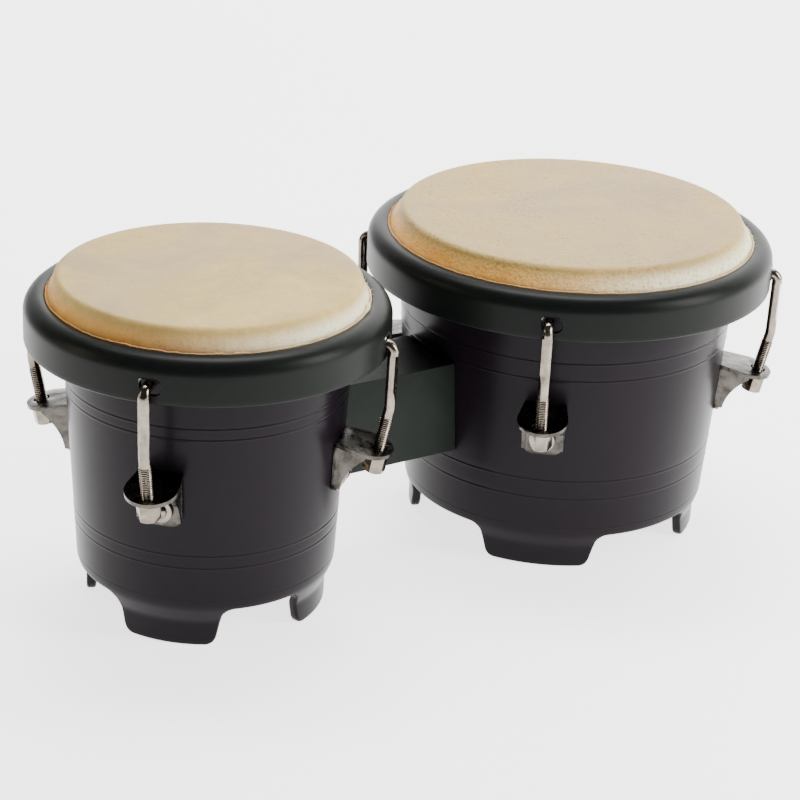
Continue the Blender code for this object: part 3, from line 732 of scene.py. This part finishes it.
def runTree(mesh, tree, values):
    holder = scratchObject("treeHolder", mesh)
    modifier = holder.modifiers.new("tree", "NODES")
    modifier.node_group = tree
    labels = {item.name: item.identifier for item in tree.interface.items_tree if item.in_out == "INPUT"}
    for label, value in values.items():
        modifier[labels[label]] = value
    return takeMesh(holder)


fibreTree = buildFibreTree()
radialTree = buildRadialTree()


def fibreLine(drum):
    count = 1500
    angles = np.linspace(0, 2 * np.pi, count, endpoint=False)[:, None]
    seed = drum["seed"]
    height = headBuild["cutEdge"] + ringNoise(angles, seed + 5, 12) * headBuild["wavy"]
    radius = drum["collar"] + 0.0005 + ringNoise(angles, seed + 21, 90) * 0.0004
    points = np.stack((radius * np.cos(angles), radius * np.sin(angles), height), -1).reshape(-1, 3)
    mesh = bpy.data.meshes.new("fibreLine")
    mesh.from_pydata(points.tolist(), [(index, index + 1) for index in range(count - 1)], [])
    return mesh


for drum in drums:
    name, body = drum["name"], drum["name"] + "_tuned_head"
    head = headMesh(drum)
    skin = showPiece(name + "HeadSkin", head, rawhide[name], body, [name + "_head"], place(drum))
    growth = {"Share": 0.4, "Seed": 11, "Shortest": 0.25, "Longest": 0.85, "Lean": 1.1}
    fibres = runTree(fibreLine(drum), fibreTree, {**growth, "Material": rawhide[name]})
    showPiece(name + "HeadFibres", fibres, rawhide[name], body, [], place(drum))
    centre = (drum["collar"] + headBuild["ringOut"], headBuild["ringHeight"])
    wire = revolve("wire", arcPoints(centre, headBuild["wire"], 0, 337.5, 16), 240)
    showPiece(name + "FleshRing", wire, steelWire, body, [name + "_flesh_ring"], place(drum))
print("heads made")


# Hoops
hoopBuild = {"sheet": 0.002, "crown": 0.008, "crownHeight": 0.150, "lip": 102, "slotShift": 0.0018}
hoopBuild.update(slotHeight=0.1440, slotCorner=0.0036, slotHalf=0.0052, slotHalfTall=0.00395)
hoopBuild.update(ridge=0.0005, emboss=0.00138)


def hoopProfile(drum):
    half = hoopBuild["sheet"] / 2
    middle = drum["hoopRadius"] - half
    centre = (drum["hoopRadius"] - hoopBuild["crown"], hoopBuild["crownHeight"])
    path = arcPoints(centre, hoopBuild["crown"] - half, hoopBuild["lip"], 0, 22)
    skirt = np.linspace(hoopBuild["crownHeight"], drum["hoopBottom"] + half, 9)
    path = np.array(path + [(middle, height) for height in skirt[1:]])
    aside = directions(path)[1]
    outside, inside = path + aside * half, path - aside * half
    lip = arcPoints(path[0], half, hoopBuild["lip"] + 180, hoopBuild["lip"], 7)[1:-1]
    foot = arcPoints(path[-1], half, 0, -180, 7)[1:-1]
    return np.concatenate((outside, foot, inside[::-1], lip))


def slotContour():
    half, tall = hoopBuild["slotHalf"], hoopBuild["slotHalfTall"]
    wide = hoopBuild["slotCorner"]
    corners = ((1, 1, wide, 0), (-1, 1, 0.0014, 90), (-1, -1, 0.0026, 180), (1, -1, wide, 270))
    outline = []
    for right, up, radius, start in corners:
        outline += arcPoints((right * (half - radius), up * (tall - radius)), radius, start, start + 90, 9)
    return np.array(outline) + (hoopBuild["slotShift"], hoopBuild["slotHeight"])


def slotRidge(drum):
    outline = slotContour()
    along = np.roll(outline, -1, 0) - np.roll(outline, 1, 0)
    along /= np.linalg.norm(along, axis=1)[:, None]
    outward = np.stack((along[:, 1], -along[:, 0]), -1)
    middle = drum["hoopRadius"] - hoopBuild["sheet"] / 2
    rows = []
    for turn in np.linspace(0, 2 * np.pi, 16, endpoint=False):
        flat = outline + outward * hoopBuild["ridge"] * math.cos(turn)
        radius = middle + hoopBuild["emboss"] * math.sin(turn)
        angle = flat[:, 0] / middle
        rows.append(np.stack((radius * np.cos(angle), radius * np.sin(angle), flat[:, 1]), -1))
    ridge = gridMesh("ridge", np.stack(rows, 1), sharpAngle=80)
    mask = ridge.attributes.new("bareMetal", "FLOAT", "POINT")
    sideways = hoopBuild["slotShift"] - hoopBuild["slotHalf"]
    corner = Vector((middle, sideways, hoopBuild["slotHeight"] + hoopBuild["slotCorner"]))
    near = [max(0.0, 1.0 - (vertex.co - corner).length / 0.0030) for vertex in ridge.vertices]
    mask.data.foreach_set("value", near)
    return ridge


def joinMeshes(name, meshes):
    objects = [scratchObject("joining", mesh) for mesh in meshes]
    chosen = {"active_object": objects[0], "selected_objects": objects, "selected_editable_objects": objects}
    with bpy.context.temp_override(**chosen):
        bpy.ops.object.join()
    joined = objects[0].data
    bpy.data.objects.remove(objects[0])
    joined.name = name
    return joined


def hoopMesh(drum):
    body = scratchObject("hoopBody", revolve("hoop", hoopProfile(drum), 360))
    outline = slotContour()
    cutters, ridges = [], []
    for number in range(4):
        turn = Matrix.Rotation(math.pi / 4 + number * math.pi / 2, 4, "Z")
        tool = prism("slotTool", outline.tolist(), drum["hoopRadius"] - 0.008, drum["hoopRadius"] + 0.004)
        cutters.append(scratchObject("slotTool", tool, turn @ outwardFacing))
        cutOrJoin(body, "DIFFERENCE", cutters[-1])
        ridges.append(slotRidge(drum))
        ridges[-1].transform(turn)
    cut = takeMesh(body, *cutters)
    cut.shade_smooth()
    cut.set_sharp_from_angle(angle=math.radians(50))
    return joinMeshes("hoop", [cut, *ridges])


for drum in drums:
    name = drum["name"]
    showPiece(name + "HoopRim", hoopMesh(drum), hoopPowder, name + "_tuned_head",
              [name + "_hoop"], place(drum))
print("hoops made")


# Tension rods and tuning nuts
rodBuild = {"radius": 0.00265, "thread": 0.00297, "root": 0.00252, "pitch": 0.001, "armHeight": 0.1435}
rodBuild.update(armLength=0.009, bend=0.0038, standoff=0.0034, kink=0.1113, threadTop=0.0179)
rodBuild.update(threadEnd=-0.0110, flat=0.00062, flatTurn=-0.22, flatEnd=0.1155)


def rodPath(drum):
    out = drum["hoopRadius"] + rodBuild["standoff"]
    centre = (out - rodBuild["bend"], rodBuild["armHeight"] - rodBuild["bend"])
    tilt = drum["tilt"]
    axis = np.array((math.sin(tilt), math.cos(tilt)))
    hole = np.array((drum["holeRadius"], drum["holeHeight"]))
    kink = hole + axis * (rodBuild["kink"] - hole[1]) / axis[1]
    bendEnd = np.array((out, centre[1]))
    upper = (kink - bendEnd) / np.linalg.norm(kink - bendEnd)
    start = drum["hoopRadius"] - rodBuild["armLength"]
    path = [(along, rodBuild["armHeight"]) for along in np.linspace(start, centre[0], 8)[:-1]]
    path += arcPoints(centre, rodBuild["bend"], 90, 0, 15)
    length = np.linalg.norm(kink - bendEnd)
    path += [tuple(bendEnd + upper * along) for along in (0.0006, 0.0012, 0.0013, 0.0016, 0.0020)]
    path += [tuple(bendEnd + upper * along) for along in np.linspace(0.004, length - 0.003, 16)]
    path += curvePoints(kink - upper * 0.002, kink, kink - axis * 0.002, 7)
    threadStart = len(path) + 1
    top = (kink[1] - 0.002 * axis[1] - hole[1]) / axis[1]
    path += [tuple(hole + axis * (top + (rodBuild["threadTop"] - top) * 0.5))]
    count = int((rodBuild["threadTop"] - rodBuild["threadEnd"]) / rodBuild["pitch"] * 8)
    reaches = np.linspace(rodBuild["threadTop"], rodBuild["threadEnd"], count)
    path += [tuple(hole + axis * along) for along in reaches]
    return np.array(path), threadStart, hole, axis


def rodMesh(drum):
    path, threadStart, hole, axis = rodPath(drum)
    outward = directions(path)[1]
    limit = math.acos(1 - rodBuild["flat"] / rodBuild["radius"])
    roundSide = np.linspace(limit, 2 * math.pi - limit, 23)[1:-1]
    angles = np.concatenate((np.linspace(-limit, limit, 7), roundSide))
    rows = []
    bendHeight = rodBuild["armHeight"] - rodBuild["bend"]
    for index, point in enumerate(path):
        reach = float((point - hole) @ axis)
        radius = np.full(len(angles), rodBuild["radius"])
        if index >= threadStart:
            phase = (reach / rodBuild["pitch"] - angles / (2 * np.pi)) % 1.0
            crest = np.clip(1.35 - 2.7 * np.abs(phase - 0.5), 0, 1) ** 0.8
            depth = rodBuild["thread"] - rodBuild["root"]
            fade = min(1, (rodBuild["threadTop"] - reach) / 0.0010)
            fade = max(0, min(fade, (reach - rodBuild["threadEnd"]) / 0.0008 + 0.15))
            radius = rodBuild["root"] + depth * crest
            radius = rodBuild["radius"] + (radius - rodBuild["radius"]) * fade
        out, aside = radius * np.cos(angles), radius * np.sin(angles)
        cut = 0.0
        if index < threadStart and point[1] < bendHeight + 0.0001 and point[0] > drum["hoopRadius"]:
            below = bendHeight - 0.00125 - point[1]
            runOut = min(1.0, max(0.0, (point[1] - rodBuild["flatEnd"]) / 0.0045))
            cut = rodBuild["flat"] * (1.0 if below > 0 else 0.0) * runOut
        out = np.minimum(out, rodBuild["radius"] - cut) if cut > 0 else out
        aside = aside * (1 + 0.05 * cut / rodBuild["flat"])
        turned = rodBuild["flatTurn"] if index < threadStart else 0.0
        across = out * math.cos(turned) - aside * math.sin(turned)
        aside = out * math.sin(turned) + aside * math.cos(turned)
        position = point[None, :] + outward[index][None, :] * across[:, None]
        rows.append(np.stack((position[:, 0], aside, position[:, 1]), -1))
    first, last = rows[0].mean(0), rows[-1].mean(0)
    downward = np.array((axis[0], 0, axis[1])) * -0.0004
    tip, end = first - (0.0005, 0, 0), last + downward
    capped = [np.repeat(tip[None, :], len(angles), 0), first + (rows[0] - first) * 0.8 - (0.00045, 0, 0)]
    capped += [*rows, end + (rows[-1] - last) * 0.82, np.repeat(end[None, :], len(angles), 0)]
    return gridMesh("rod", np.stack(capped, 0), False, True, 32)


def hexNut(across, low, high, hole):
    corner = across / 2 / math.cos(math.pi / 6)
    perSide = np.array([-30, -29, -27, -20, -10, 0, 10, 20, 27, 29])
    angles = np.radians(np.concatenate([perSide + 60 * side for side in range(6)]))
    local = (angles + math.pi / 6) % (math.pi / 3) - math.pi / 6
    sides = np.minimum(across / 2 / np.cos(local), corner * 0.982)
    inner = across / 2 * 0.985
    slope = (sides - inner) * 0.6
    bevel = 0.00035

    def level(radius, height):
        return np.full(len(angles), radius), np.full(len(angles), height)

    rings = [
        level(hole, high - bevel),
        level(hole + bevel, high),
        level(inner - 0.0002, high),
        level(inner, high - 0.00005),
        (sides - 0.00006, high - slope - 0.00006),
        (sides, high - slope - 0.0002),
        (sides, np.full(len(angles), (low + high) / 2)),
        (sides, low + slope + 0.0002),
        (sides - 0.00006, low + slope + 0.00006),
        level(inner, low + 0.00005),
        level(inner - 0.0002, low),
        level(hole + bevel, low),
        level(hole, low + bevel),
    ]
    turned = [np.stack((size * np.cos(angles), size * np.sin(angles), height), -1) for size, height in rings]
    points = np.stack(turned, 1)
    return gridMesh("nut", points, sharpAngle=28)


def threadPlace(drum):
    hole = Matrix.Translation((drum["holeRadius"], 0, drum["holeHeight"]))
    return hole @ Matrix.Rotation(drum["tilt"], 4, "Y")


nutBuild = {"across": 0.010, "top": -0.0013, "height": 0.010, "hole": 0.0031, "turns": (17, 41, 8, 52)}
for drum in drums:
    name = drum["name"]
    rod = rodMesh(drum)
    nut = hexNut(nutBuild["across"], nutBuild["top"] - nutBuild["height"], nutBuild["top"], nutBuild["hole"])
    for number, turned in enumerate(nutBuild["turns"], 1):
        turn = Matrix.Rotation(math.radians(turned), 4, "Z")
        showPiece(f"{name}Rod{number}", rod.copy(), nickelPlate, f"{name}_rod_{number}",
                  [f"{name}_tension_rod_{number}"], station(drum, number))
        showPiece(f"{name}Nut{number}", nut.copy(), nickelPlate, f"{name}_nut_{number}",
                  [f"{name}_tuning_nut_{number}"], station(drum, number) @ threadPlace(drum) @ turn)
print("rods and nuts made")


# Lugs with their screws
lugBuild = {"bottom": 0.067, "top": 0.0918, "plate": 0.002, "half": 0.0105}
lugBuild.update(nose=0.0126, noseInset=0.0056)
lugBuild.update(tongue=0.002, web=0.0018, holeOut=0.0040, holeAlong=0.0046, screwHeight=0.0751, clear=0.0003)


def wallAt(drum, height):
    return float(outerRadius(drum, np.array([height]), False)[0])


def screwPlace(drum):
    taper = (drum["wallTop"] - drum["wallBase"]) / (shellBuild["flareHeight"] - drum["baseHeight"])
    height = lugBuild["screwHeight"]
    seat = Matrix.Translation((wallAt(drum, height), 0, height))
    return seat @ Matrix.Rotation(math.pi / 2 + taper, 4, "Y")


def wallCutter(drum, gap, matrix):
    high, low = 0.130, 0.030
    wall = [(0, high), (wallAt(drum, high) + gap, high), (wallAt(drum, low) + gap, low), (0, low)]
    return scratchObject("wall", revolve("wall", wall, 240, False), matrix)


def webOutline(drum):
    hole, rise = drum["holeRadius"], math.tan(drum["tilt"])
    base = lugBuild["plate"] / 2 + lugBuild["clear"]
    low = lugBuild["bottom"] + 0.0030
    front, level = hole - 0.0040, drum["holeHeight"]
    back = wallAt(drum, lugBuild["top"]) + base
    start = (wallAt(drum, low) + base + 0.0026, low)
    end = (front, level + 0.0040 * rise - 0.0030)
    handle = (start[0] + 0.0016, level - 0.0090)
    outline = [(wallAt(drum, low) + base, low)]
    outline += curvePoints(start, handle, end, 9)
    outline += [(front + 0.0006, level + 0.0040 * rise - 0.0010), (front, level + 0.0040 * rise)]
    outline.append((back, level + rise * (hole - back)))
    return outline


def lugMesh(drum):
    half = lugBuild["half"]
    flat = screwPlace(drum) @ Matrix.Rotation(-math.pi / 2, 4, "Y")
    low, high = lugBuild["bottom"] - lugBuild["screwHeight"], lugBuild["top"] - lugBuild["screwHeight"]
    corner = 0.0060
    outline = arcPoints((-half + corner, low + corner), corner, 180, 270, 10)
    outline += arcPoints((half - corner, low + corner), corner, 270, 360, 10)
    outline += [(half, high), (-half, high)]
    plate = prism("lug", outline, -0.0005, lugBuild["plate"] + lugBuild["clear"])
    lug = scratchObject("lug", plate, flat @ outwardFacing)
    back = drum["holeRadius"] - wallAt(drum, lugBuild["top"]) + 0.001
    nose = arcPoints((-lugBuild["noseInset"], 0), lugBuild["nose"], -100, 100, 33)
    tongueLine = [(-back, -half), *nose, (-back, half)]
    thick = lugBuild["tongue"] / 2
    tongue = scratchObject("tongue", prism("tongue", tongueLine, -thick, thick), threadPlace(drum))
    cutOrJoin(lug, "UNION", tongue)
    onEdge = Matrix(((1, 0, 0, 0), (0, 0, -1, 0), (0, 1, 0, 0), (0, 0, 0, 1)))
    tools = [tongue]
    for side in (-1, 1):
        aside = Matrix.Translation((0, side * (half - lugBuild["web"] / 2 - 0.0001), 0))
        web = prism("web", webOutline(drum), -lugBuild["web"] / 2, lugBuild["web"] / 2)
        tools.append(scratchObject("web", web, aside @ onEdge))
        cutOrJoin(lug, "UNION", tools[-1])
    turns = np.linspace(0, 2 * np.pi, 32, endpoint=False)
    oval = [(lugBuild["holeOut"] * math.cos(turn), lugBuild["holeAlong"] * math.sin(turn)) for turn in turns]
    tools.append(scratchObject("rodHole", prism("rodHole", oval, -0.005, 0.005), threadPlace(drum)))
    cutOrJoin(lug, "DIFFERENCE", tools[-1])
    tools.append(wallCutter(drum, 0.0001, Matrix.Rotation(math.radians(0.4), 4, "Z")))
    cutOrJoin(lug, "DIFFERENCE", tools[-1])
    mesh = softenEdges(takeMesh(lug, *tools), 0.00042, 3, 28, 40)
    # Painted shade: vertices close to the shell wall below the rod hole get shade 1, which the metal turns
    # near-black.
    shades = []
    for vertex in mesh.vertices:
        x, y, z = vertex.co
        depth = math.hypot(x, y) - wallAt(drum, z)
        sheltered = depth < 0.0026 and abs(y) < half - 0.0005 and z < drum["holeHeight"]
        shades.append(1.0 if sheltered else 0.0)
    mesh.attributes.new("shade", "FLOAT", "POINT").data.foreach_set("value", shades)
    return mesh


def screwMesh():
    seat = lugBuild["plate"] + 2 * lugBuild["clear"]
    top = seat + 0.0011
    profile = [(0, -0.0105), (0.0015, -0.0105), (0.0019, -0.0101), (0.0019, seat), (0.0058, seat)]
    profile += arcPoints((0.0058, seat + 0.0003), 0.0003, -90, 0, 4)
    profile += arcPoints((0.0058, top - 0.0003), 0.0003, 0, 90, 4)
    profile += [(0.0037, top), (0.0036, top + 0.0004)]
    for turn in np.linspace(0.1, math.pi / 2, 10):
        profile.append((0.0036 * math.cos(turn), top + 0.0006 + 0.0018 * math.sin(turn)))
    return revolve("screw", profile, 64, False, None, 30)


for drum in drums:
    name = drum["name"]
    for label, mesh, metal, node in (
        ("Lugs", lugMesh(drum), stampedNickel, "lug"),
        ("LugScrews", screwMesh(), nickelPlate, "lug_screw"),
        ("InnerNuts", hexNut(0.0069, -0.0087, -0.0055, 0.0021), nickelPlate, "lug_screw_nut"),
    ):
        if node != "lug":
            mesh.transform(screwPlace(drum))
        four = runTree(mesh, radialTree, {"Count": 4, "Step": math.pi / 2, "Material": metal})
        nodes = [f"{name}_{node}_{number}" for number in range(1, 5)]
        showPiece(name + label, four, metal, "shells_and_block", nodes, place(drum, math.pi / 4))
print("lugs made")


# Centre block, its bolts and backing plates
blockLow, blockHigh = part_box("centre_block")


def blockMesh():
    left, right, front, back = blockLow.x, blockHigh.x, blockLow.y, blockHigh.y
    corners = [(left, front), (right, front), (right, back), (left, back)]
    block = scratchObject("block", prism("block", corners, blockLow.z, blockHigh.z))
    tools = []
    for drum in drums:
        tools.append(wallCutter(drum, 0.0003, place(drum)))
        cutOrJoin(block, "DIFFERENCE", tools[-1])
    return softenEdges(takeMesh(block, *tools), 0.0008, 4, 30, 35)


def plateMesh(drum):
    low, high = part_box(drum["name"] + "_backing_plate")
    half, tall = (high.y - low.y) / 2, (high.z - low.z) / 2
    centre = (low.z + high.z) / 2
    outline = []
    for right, up, start in ((1, 1, 0), (-1, 1, 90), (-1, -1, 180), (1, -1, 270)):
        outline += arcPoints((right * (half - 0.003), up * (tall - 0.003)), 0.003, start, start + 90, 6)
    outline = np.array(outline)
    thick = 0.002
    rows = []
    faceSteps = [(0, 0), (0.2, 0), (0.6, 0), (0.97, 0), (1, 0.0004)]
    for grow, depth in faceSteps + [(grow, thick - depth) for grow, depth in reversed(faceSteps)]:
        flat = outline * grow
        height = centre + flat[:, 1]
        radius = outerRadius(drum, height, False) - 0.0051 - depth
        angle = flat[:, 0] / drum["wallBase"] + (0 if drum["side"] > 0 else math.pi)
        rows.append(np.stack((radius * np.cos(angle), radius * np.sin(angle), height), -1))
    return gridMesh("plate", np.stack(rows, 1), True, False, 40)


showPiece("centreBlockBody", blockMesh(), blockPowder, "shells_and_block", ["centre_block"])
boltProfile = [(0, 0.0), (0.0025, 0.0), (0.0025, 0.018), (0.0048, 0.018)]
boltProfile += arcPoints((0.0046, 0.0184), 0.0004, -90, 0, 4) + arcPoints((0.0040, 0.0200), 0.0010, 0, 80, 6)
boltProfile += [(0.0024, 0.0210), (0.0021, 0.0208), (0.0020, 0.0192), (0, 0.0190)]
for drum in drums:
    name, side = drum["name"], drum["side"]
    flatFrame = Matrix.Translation(drum["centre"])
    showPiece(name + "BackingPlate", plateMesh(drum), steelWire, "shells_and_block",
              [name + "_backing_plate"], flatFrame)
    for level in ("upper", "lower"):
        low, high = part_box(f"{name}_block_bolt_{level}")
        middle = (low + high) / 2
        innermost = low.x if side > 0 else high.x
        turn = Matrix.Rotation(-side * math.pi / 2, 4, "Y")
        matrix = Matrix.Translation((innermost + side * 0.0210, middle.y, middle.z)) @ turn
        bolt = revolve("bolt", boltProfile, 48, False, None, 30)
        showPiece(f"{name}BlockBolt{level.capitalize()}", bolt, nickelPlate, "shells_and_block",
                  [f"{name}_block_bolt_{level}"], matrix)
print("block made")


# Floor, backdrop, camera and lights
def stageMaterial(away, level):
    material, tree, shader, where = newMaterial("paleStage")
    measured = []
    for way in (away, level):
        dot = addNode(tree, "ShaderNodeVectorMath", {0: where, 1: tuple(way)}, operation="DOT_PRODUCT")
        measured.append(dot.outputs["Value"])
    near, aside = measured
    fading = spread(tree, aside, -0.85, -0.5, 0.06, 1.0)
    glow = times(tree, spread(tree, near, -0.9, -0.35, 0.1, 2.6), fading)
    tone = noiseAt(tree, where, 2.0, 3.0)
    colour = mixColours(tree, tone, (0.88, 0.88, 0.875), (0.91, 0.91, 0.905))
    setShader(tree, shader, {"Base Color": colour, "Roughness": 0.8, "Specular IOR Level": 0.1})
    setShader(tree, shader, {"Emission Color": colour, "Emission Strength": glow})
    return material


view = {"at": Vector((-0.597783, -0.894587, 0.546877)), "yaw": 0.586, "pitch": 0.410, "roll": 0.048}
view["lens"] = 103.208
level = Vector((math.cos(view["yaw"]), -math.sin(view["yaw"]), 0))
away = Vector((math.sin(view["yaw"]), math.cos(view["yaw"]), 0))
forward = away * math.cos(view["pitch"]) - Vector((0, 0, math.sin(view["pitch"])))
upright = level.cross(forward)
rightward = level * math.cos(view["roll"]) + upright * math.sin(view["roll"])
upward = upright * math.cos(view["roll"]) - level * math.sin(view["roll"])
cameraData = bpy.data.cameras.new("camera")
cameraData.sensor_width = 36
cameraData.lens = view["lens"]
cameraData.clip_start = 0.05
cameraData.clip_end = 50
camera = bpy.data.objects.new("camera", cameraData)
bpy.context.scene.collection.objects.link(camera)
turned = Matrix((rightward, upward, -forward)).transposed().to_4x4()
camera.matrix_world = Matrix.Translation(view["at"]) @ turned
bpy.context.scene.camera = camera

stageBuild = {"near": -3.0, "bendStart": 1.2, "bend": 0.8, "top": 4.0, "half": 4.0}
sweep = [(stageBuild["near"], 0.0), (stageBuild["bendStart"], 0.0)]
for turn in np.linspace(0.1, math.pi / 2, 14):
    along = stageBuild["bendStart"] + stageBuild["bend"] * math.sin(turn)
    sweep.append((along, stageBuild["bend"] * (1 - math.cos(turn))))
sweep.append((stageBuild["bendStart"] + stageBuild["bend"], stageBuild["top"]))
rows = []
for aside in (-stageBuild["half"], stageBuild["half"]):
    rows.append([tuple(away * along + level * aside + Vector((0, 0, height))) for along, height in sweep])
stage = scratchObject("paleSweep", gridMesh("paleSweep", np.array(rows), False, False, 80))
stage.data.materials.append(stageMaterial(away, level))
stage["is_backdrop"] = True


middle = Vector((0, 0, 0.09))


def fromMiddle(right, back, up):
    return middle + level * right + away * back + Vector((0, 0, up))


def softLight(name, position, target, size, power, colour):
    data = bpy.data.lights.new(name, "AREA")
    data.shape = "RECTANGLE"
    data.size, data.size_y = size
    data.energy = power
    data.color = colour
    light = bpy.data.objects.new(name, data)
    bpy.context.scene.collection.objects.link(light)
    light.location = position
    light.rotation_mode = "QUATERNION"
    light.rotation_quaternion = (target - position).to_track_quat("-Z", "Y")
    light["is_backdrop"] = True


softLight("keyRight", fromMiddle(1.25, -0.35, 0.55), middle, (0.5, 0.9), 24, (1.0, 0.98, 0.94))
softLight("fillLeft", fromMiddle(-1.2, -0.3, 0.35), middle, (0.22, 0.6), 2.5, (1.0, 0.84, 0.62))
softLight("overhead", fromMiddle(0, 0.35, 1.5), middle, (0.8, 0.6), 15, (1.0, 0.99, 0.97))
softLight("backdropGlow", fromMiddle(0, 0.6, 2.2), fromMiddle(0, 2.0, 0), (2.6, 0.6), 60, (1.0, 1.0, 1.0))
world = bpy.data.worlds.new("dimRoom")
world.use_nodes = True
world.node_tree.nodes["Background"].inputs["Color"].default_value = (0.75, 0.78, 0.82, 1)
world.node_tree.nodes["Background"].inputs["Strength"].default_value = 0.15
bpy.context.scene.world = world
print("stage, camera and lights set")

low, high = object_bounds()
